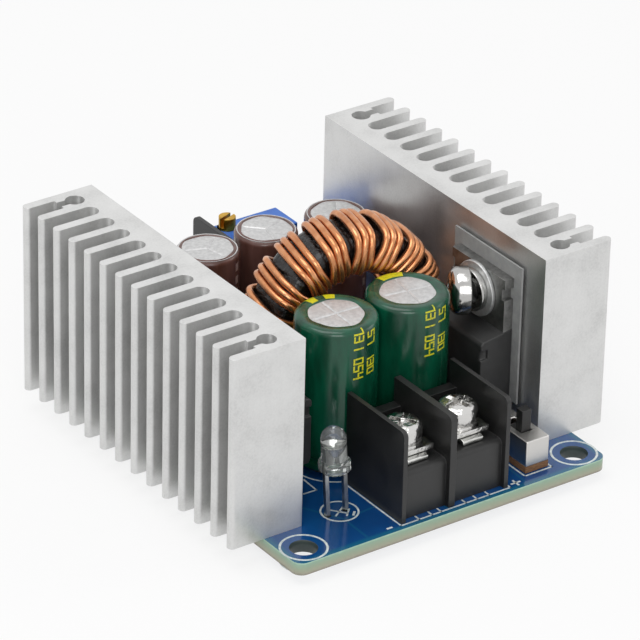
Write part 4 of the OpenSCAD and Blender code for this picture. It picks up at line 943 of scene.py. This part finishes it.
def dashes(angle, width, start, pitch, length, count):
    """A polarity column: dashes one above the other, along the sleeve."""
    return [(angle - width / 2, angle + width / 2, start + pitch * i, start + pitch * i + length) for i in range(count)]


GREEN_FIGURES = figures("731 054", 267, 18.2) + figures("57 130", 289, 17.4)
IN_MARKS_LEFT = GREEN_FIGURES + [(92, 108, 1.8, -0.05), (58, 76, 1.8, -0.05)]
IN_MARKS_RIGHT = GREEN_FIGURES + [(63, 107, 1.8, -0.05)]
OUT_MARKS = dashes(300, 9, 6.5, 1.7, 1.0, 5) + dashes(60, 30, 3.6, 2.4, 0.5, 5)
capacitor("input_capacitor_left", "green", 3.25, 4, -2, IN_MARKS_LEFT)
capacitor("input_capacitor_right", "green", 3.25, 4, -8, IN_MARKS_RIGHT)
capacitor("output_capacitor_a", "brown", 3.05, 3, 40, OUT_MARKS)
capacitor("output_capacitor_b", "brown", 3.05, 3, 15, OUT_MARKS)
capacitor("output_capacitor_c", "brown", 3.05, 3, 55, OUT_MARKS)

# Butyl rubber seal and tinned wires.
rubber, tree, shader = finish_of("butyl_rubber", {"Roughness": 0.8})
dust = add(tree, "ShaderNodeTexNoise", {}, {"Vector": in_mm(tree), "Scale": 3, "Detail": 3}).outputs["Fac"]
tree.links.new(add(tree, "ShaderNodeValToRGB", {"stops": [(0.3, "#161616"), (0.7, "#2a2a2a")]},
                   {"Fac": dust}).outputs[0], shader.inputs["Base Color"])
wire_tin, tree, shader = finish_of("tinned_wire", {"Metallic": 1, "Roughness": 0.3})
drawn = add(tree, "ShaderNodeTexNoise", {}, {"Vector": in_mm(tree, (1, 1, 0.3)), "Scale": 3, "Detail": 3}).outputs["Fac"]
tree.links.new(add(tree, "ShaderNodeValToRGB", {"stops": [(0.3, "#a4a4a2"), (0.7, "#d2d2cf")]},
                   {"Fac": drawn}).outputs[0], shader.inputs["Base Color"])
bumped(tree, shader, drawn, 0.02, 0.4)


def carried(node, material):
    """A CAD node that is shown as it is, with its own material."""
    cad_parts[node].data.materials.clear()
    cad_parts[node].data.materials.append(material)


for cap in ("input_capacitor_left", "input_capacitor_right", "output_capacitor_a", "output_capacitor_b",
            "output_capacitor_c"):
    carried(cap + "_bung", rubber)
carried("capacitor_leads", wire_tin)

# ---- screw terminals ----
# Two-way barrier blocks moulded in black PBT. In each bay a folded tinned contact lies under a
# square washer and a combination screw.

# PBT with glass fibre, black: satin from a spark-eroded mould, edges catch a soft light.
pbt, tree, shader = finish_of("moulded_pbt", {"Roughness": 0.42, "IOR": 1.55})
spark = add(tree, "ShaderNodeTexNoise", {}, {"Vector": in_mm(tree), "Scale": 7, "Detail": 3}).outputs["Fac"]
bloom = add(tree, "ShaderNodeTexNoise", {}, {"Vector": in_mm(tree), "Scale": 0.3, "Detail": 3}).outputs["Fac"]
tree.links.new(add(tree, "ShaderNodeValToRGB", {"stops": [(0.3, "#141414"), (0.7, "#202020")]},
                   {"Fac": bloom}).outputs[0], shader.inputs["Base Color"])
tree.links.new(add(tree, "ShaderNodeMapRange", {}, {
    "Value": bloom, "To Min": 0.34, "To Max": 0.5}).outputs[0], shader.inputs["Roughness"])
bumped(tree, shader, spark, 0.02, 0.5)

# Tinned brass strip: bright and smooth where it is folded, dull on its sheared sides.
contact_tin, tree, shader = finish_of("tinned_brass_strip", {"Metallic": 1})
rub = add(tree, "ShaderNodeTexNoise", {}, {"Vector": in_mm(tree), "Scale": 1.5, "Detail": 4}).outputs["Fac"]
tree.links.new(add(tree, "ShaderNodeMapRange", {}, {
    "Value": rub, "To Min": 0.16, "To Max": 0.32}).outputs[0], shader.inputs["Roughness"])
tree.links.new(add(tree, "ShaderNodeValToRGB", {"stops": [(0.3, "#c4c4c0"), (0.7, "#e9e9e6")]},
                   {"Fac": rub}).outputs[0], shader.inputs["Base Color"])
bumped(tree, shader, rub, 0.015, 0.3)

terminal_head = screw_head(2.4, 2.4, 1.75, 0.6, 0.34)
WALL_SHIFT, WALL_THINNED, WALL_ROUND, WALL_CORNER = 0.5, 0.4, 1.6, 0.8
head_places = []
for block, turns_deg in (("input_terminal", (38, 12)), ("output_terminal", (64, 20))):
    block_mesh = rounded(block + "_housing", 0.22, 3)
    wall_x = (centre(block + "_housing")[0] + (-WALL_SHIFT if block == "input_terminal" else WALL_SHIFT)) * MM
    for v in block_mesh.vertices:
        if 0.5 * MM < abs(v.co.x - wall_x) < 1.2 * MM:
            v.co.x -= math.copysign(WALL_THINNED * MM, v.co.x - wall_x)
    low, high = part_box(block + "_housing")
    inward = 1 if block == "input_terminal" else -1
    front = low.y if inward > 0 else high.y
    for v in block_mesh.vertices:
        along, up = (v.co.y - front) * inward / MM - WALL_ROUND, (v.co.z - high.z) / MM + WALL_ROUND
        reach = math.hypot(along, up)
        if along < 0.01 and up > -0.01 and reach > WALL_ROUND - 0.4:
            sharper = WALL_ROUND - WALL_CORNER
            v.co.y += (-along * sharper / reach - sharper) * inward * MM
            v.co.z += (sharper - up * sharper / reach) * MM
    plain(block + "_block", block_mesh, pbt, [block + "_housing"])
    plain(block + "_strips", rounded(block + "_contacts", 0.1, 2), contact_tin,
          [block + "_contacts"])
    plain(block + "_square_washers", rounded(block + "_washers", 0.16, 3), plating["tumbled"],
          [block + "_washers"])
    for (low, high), spin in zip(islands(block + "_screws"), turns_deg):
        head_places.append((((low.x + high.x) / 2, (low.y + high.y) / 2, high.z - 1.9 * MM),
                            (0, 0, math.radians(spin)), (1, 1, 1)))
plain("terminal_screw_heads", copies(terminal_head, head_places, plating["tumbled"]), plating["tumbled"],
      ["input_terminal_screws", "output_terminal_screws"])

# ---- indicator LED ----
# A 3 mm LED potted in clear epoxy round two steel posts. Its flange has a flat on one side, and
# the square leads hold it above the board.

low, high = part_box("led_lens")
LENS_R, FLANGE_R, FLANGE_H, LENS_H, LEAN = 1.5, 1.9, 1.0, 5.5, 4
lens_profile = [(0, 0), (FLANGE_R - 0.1, 0), (FLANGE_R, 0.1), (FLANGE_R, FLANGE_H - 0.1),
                (FLANGE_R - 0.1, FLANGE_H), (LENS_R + 0.05, FLANGE_H + 0.05), (LENS_R, FLANGE_H + 0.15)]
lens_profile += [(LENS_R, 1.6 + 0.6 * i) for i in range(4)]
lens_profile += [(LENS_R * math.cos(math.radians(a)), LENS_H - LENS_R + LENS_R * math.sin(math.radians(a)))
                 for a in range(6, 90, 7)] + [(0, LENS_H)]
lens = lathe(lens_profile, 72)
for v in lens.verts:
    if v.co.x < -1.68 * MM:
        v.co.x = -1.68 * MM
foot = Vector((led_x * MM, led_y * MM, (top_z + 0.6) * MM))
foot.x = sum((low.x + high.x) / 2 for low, high in islands("led_leads", 0.4 * MM)) / 2
foot.y = (low.y + high.y) / 2
lens.transform(Matrix.Translation(foot) @ Matrix.Rotation(math.radians(-LEAN), 4, "Y")
               @ Matrix.Translation((0, 0, 5.4 * MM)))
# Clear potting epoxy: water-clear, polished by the mould, a trace of grey in its depth.
clear, tree, shader = finish_of("clear_epoxy", {
    "Transmission Weight": 0.9, "IOR": 1.52, "Roughness": 0.05, "Base Color": linear("#dfe3e2")})
swirl = add(tree, "ShaderNodeTexNoise", {}, {"Vector": in_mm(tree), "Scale": 1.1, "Detail": 2}).outputs["Fac"]
bumped(tree, shader, swirl, 0.05, 0.25)
plain("led_dome", made_from(lens, "led_dome"), clear, ["led_lens"])
plain("led_frame", rounded("led_leads", 0.06, 2), wire_tin, ["led_leads"])
cup = lathe([(0, 2.0), (0.45, 2.0), (1.12, 3.25), (1.02, 3.3), (0.38, 2.25), (0, 2.25)], 40)
cup.transform(Matrix.Translation(foot) @ Matrix.Rotation(math.radians(-LEAN), 4, "Y")
              @ Matrix.Translation((0, 0, 5.4 * MM)))
plain("led_cup", made_from(cup, "led_cup"), plated)

# ---- slide switch ----
# A folded nickel-plated shell over a brown phenolic base, with a black knob that slides 2 mm.

nickel, tree, shader = finish_of("nickel_plated_sheet", {"Metallic": 1, "Base Color": linear("#d0cecb")})
brushing = add(tree, "ShaderNodeTexNoise", {}, {
    "Vector": in_mm(tree, (1, 0.15, 1)), "Scale": 3.5, "Detail": 4}).outputs["Fac"]
tree.links.new(add(tree, "ShaderNodeMapRange", {}, {
    "Value": brushing, "To Min": 0.26, "To Max": 0.42}).outputs[0], shader.inputs["Roughness"])
bumped(tree, shader, brushing, 0.02, 0.35)
plain("switch_case", rounded("switch_shell", 0.14, 3), nickel, ["switch_shell"])

phenolic, tree, shader = finish_of("phenolic_paper", {"Roughness": 0.7})
fibre = add(tree, "ShaderNodeTexNoise", {}, {"Vector": in_mm(tree, (1, 1, 5)), "Scale": 2, "Detail": 5}).outputs["Fac"]
tree.links.new(add(tree, "ShaderNodeValToRGB", {"stops": [(0.3, "#614027"), (0.7, "#8c6745")]},
                   {"Fac": fibre}).outputs[0], shader.inputs["Base Color"])
bumped(tree, shader, fibre, 0.03, 0.5)
plain("switch_foot", rounded("switch_base", 0.05, 1), phenolic, ["switch_base"])
carried("switch_pins", wire_tin)

nylon, tree, shader = finish_of("moulded_nylon", {"Roughness": 0.45})
gate = add(tree, "ShaderNodeTexNoise", {}, {"Vector": in_mm(tree), "Scale": 6, "Detail": 3}).outputs["Fac"]
tree.links.new(add(tree, "ShaderNodeValToRGB", {"stops": [(0.3, "#151515"), (0.7, "#232323")]},
                   {"Fac": gate}).outputs[0], shader.inputs["Base Color"])
bumped(tree, shader, gate, 0.02, 0.4)
plain("switch_slider", rounded("switch_knob", 0.1, 3), nylon, ["switch_knob"], "switch_knob")

# ---- trimmer ----
# A multi-turn trimmer: a blue moulded case with a slotted brass screw in one corner of its top.

diallyl, tree, shader = finish_of("blue_trimmer_plastic", {"Roughness": 0.38, "IOR": 1.55})
speck = add(tree, "ShaderNodeTexNoise", {}, {"Vector": in_mm(tree), "Scale": 0.8, "Detail": 4}).outputs["Fac"]
tree.links.new(add(tree, "ShaderNodeValToRGB", {"stops": [(0.3, "#1f5fbe"), (0.7, "#3a78d2")]},
                   {"Fac": speck}).outputs[0], shader.inputs["Base Color"])
bumped(tree, shader, speck, 0.05, 0.3)
plain("trimmer_case", rounded("trimmer_body", 0.15, 3), diallyl, ["trimmer_body"])
brass, tree, shader = finish_of("turned_brass", {"Metallic": 1, "Roughness": 0.32})
turning = add(tree, "ShaderNodeTexNoise", {}, {"Vector": in_mm(tree, (1, 1, 6)), "Scale": 1.5, "Detail": 3}).outputs["Fac"]
tree.links.new(add(tree, "ShaderNodeValToRGB", {"stops": [(0.3, "#a87c22"), (0.7, "#d6ac45")]},
                   {"Fac": turning}).outputs[0], shader.inputs["Base Color"])
bumped(tree, shader, turning, 0.03, 0.5)
plain("trimmer_adjuster", rounded("trimmer_screw", 0.08, 2), brass, ["trimmer_screw"], "trimmer_screw")
carried("trimmer_pins", wire_tin)

# ---- surface-mounted parts ----
# Two gull-wing chips, a current-sensing resistor, chip resistors and chip capacitors, soldered
# on the component side.

for chip in ("controller_chip", "amplifier_chip"):
    plain(chip + "_package", rounded(chip, 0.05, 1), epoxy, [chip])
plain("shunt_plate", rounded("shunt_resistor", 0.08, 2), epoxy, ["shunt_resistor"])
plain("resistor_chips", rounded("chip_resistors", 0.05, 2), epoxy, ["chip_resistors"])
fired, tree, shader = finish_of("fired_ceramic", {"Roughness": 0.5})
grain = add(tree, "ShaderNodeTexNoise", {}, {"Vector": in_mm(tree), "Scale": 5, "Detail": 3}).outputs["Fac"]
tree.links.new(add(tree, "ShaderNodeValToRGB", {"stops": [(0.3, "#8d6f47"), (0.7, "#b6955f")]},
                   {"Fac": grain}).outputs[0], shader.inputs["Base Color"])
plain("capacitor_chips", rounded("chip_capacitors", 0.06, 2), fired, ["chip_capacitors"])

# ---- studio ----
# A pale floor, a white surround and soft lamps, with the camera at a long focal length.

scene = bpy.context.scene
scene.view_settings.view_transform = "Standard"
floor_mesh = bpy.data.meshes.new("floor")
floor_mesh.from_pydata([(-3, -3, 0), (3, -3, 0), (3, 3, 0), (-3, 3, 0)], [], [(0, 1, 2, 3)])
floor = bpy.data.objects.new("floor", floor_mesh)
scene.collection.objects.link(floor)
paper, tree, shader = finish_of("white_paper", {"Roughness": 0.9, "Base Color": linear("#f2f2f2"),
                                                 "Specular IOR Level": 0.1})
rays = add(tree, "ShaderNodeLightPath").outputs
seen = rays["Is Camera Ray"]
for other in ("Is Glossy Ray", "Is Transmission Ray"):
    seen = add(tree, "ShaderNodeMath", {"operation": "MAXIMUM"}, {0: seen, 1: rays[other]}).outputs[0]
glow = add(tree, "ShaderNodeEmission", {}, {"Color": (1, 1, 1, 1), "Strength": 1.0}).outputs[0]
part_glow = add(tree, "ShaderNodeMixShader", {}, {0: 0.8, 1: shader.outputs[0], 2: glow}).outputs[0]
shown = add(tree, "ShaderNodeMixShader", {}, {0: seen, 1: shader.outputs[0], 2: part_glow}).outputs[0]
tree.links.new(shown, tree.nodes["Material Output"].inputs["Surface"])
floor_mesh.materials.append(paper)

world = bpy.data.worlds.new("tent")
world.use_nodes = True
scene.world = world
tree = world.node_tree
soft = tree.nodes["Background"]
soft.inputs["Color"].default_value = (1, 1, 1, 1)
soft.inputs["Strength"].default_value = 0.5
white = add(tree, "ShaderNodeBackground", {}, {"Color": (1, 1, 1, 1), "Strength": 1.0}).outputs[0]
rays = add(tree, "ShaderNodeLightPath").outputs
seen = rays["Is Camera Ray"]
for other in ("Is Glossy Ray", "Is Transmission Ray"):
    seen = add(tree, "ShaderNodeMath", {"operation": "MAXIMUM"}, {0: seen, 1: rays[other]}).outputs[0]
tree.links.new(add(tree, "ShaderNodeMixShader", {}, {
    0: seen, 1: soft.outputs[0], 2: white}).outputs[0],
    tree.nodes["World Output"].inputs["Surface"])


def lamp(name, place, size, watts):
    """A square soft box that faces the module."""
    light = bpy.data.lights.new(name, "AREA")
    light.shape = "SQUARE"
    light.size = size
    light.energy = watts
    made = bpy.data.objects.new(name, light)
    made.location = place
    made.rotation_euler = (Vector(place) - Vector((0, 0, 0.014))).to_track_quat("Z", "Y").to_euler()
    scene.collection.objects.link(made)


lamp("top_box", (-0.1, 0.05, 0.5), 0.35, 1.0)
lamp("front_box", (-0.28, -0.42, 0.3), 0.3, 0.9)
lamp("right_box", (0.5, -0.2, 0.22), 0.25, 0.35)

AZIMUTH, ELEVATION, ROLL = (math.radians(a) for a in (-35.719, 28.953, 1.394))
AIM, AWAY = Vector((0.012689, 0.01596, 0.0028)), 0.585442
back = Vector((math.sin(AZIMUTH) * math.cos(ELEVATION), -math.cos(AZIMUTH) * math.cos(ELEVATION), math.sin(ELEVATION)))
right = Vector((0, 0, 1)).cross(back).normalized()
up = back.cross(right)
tilted_right = right * math.cos(ROLL) + up * math.sin(ROLL)
tilted_up = up * math.cos(ROLL) - right * math.sin(ROLL)
view = bpy.data.cameras.new("camera")
view.lens = 269.685
view.sensor_width = 36
view.clip_start = 0.01
camera = bpy.data.objects.new("camera", view)
camera.matrix_world = Matrix.Translation(AIM + back * AWAY) @ Matrix(
    (tilted_right, tilted_up, back)).transposed().to_4x4()
scene.collection.objects.link(camera)
scene.camera = camera
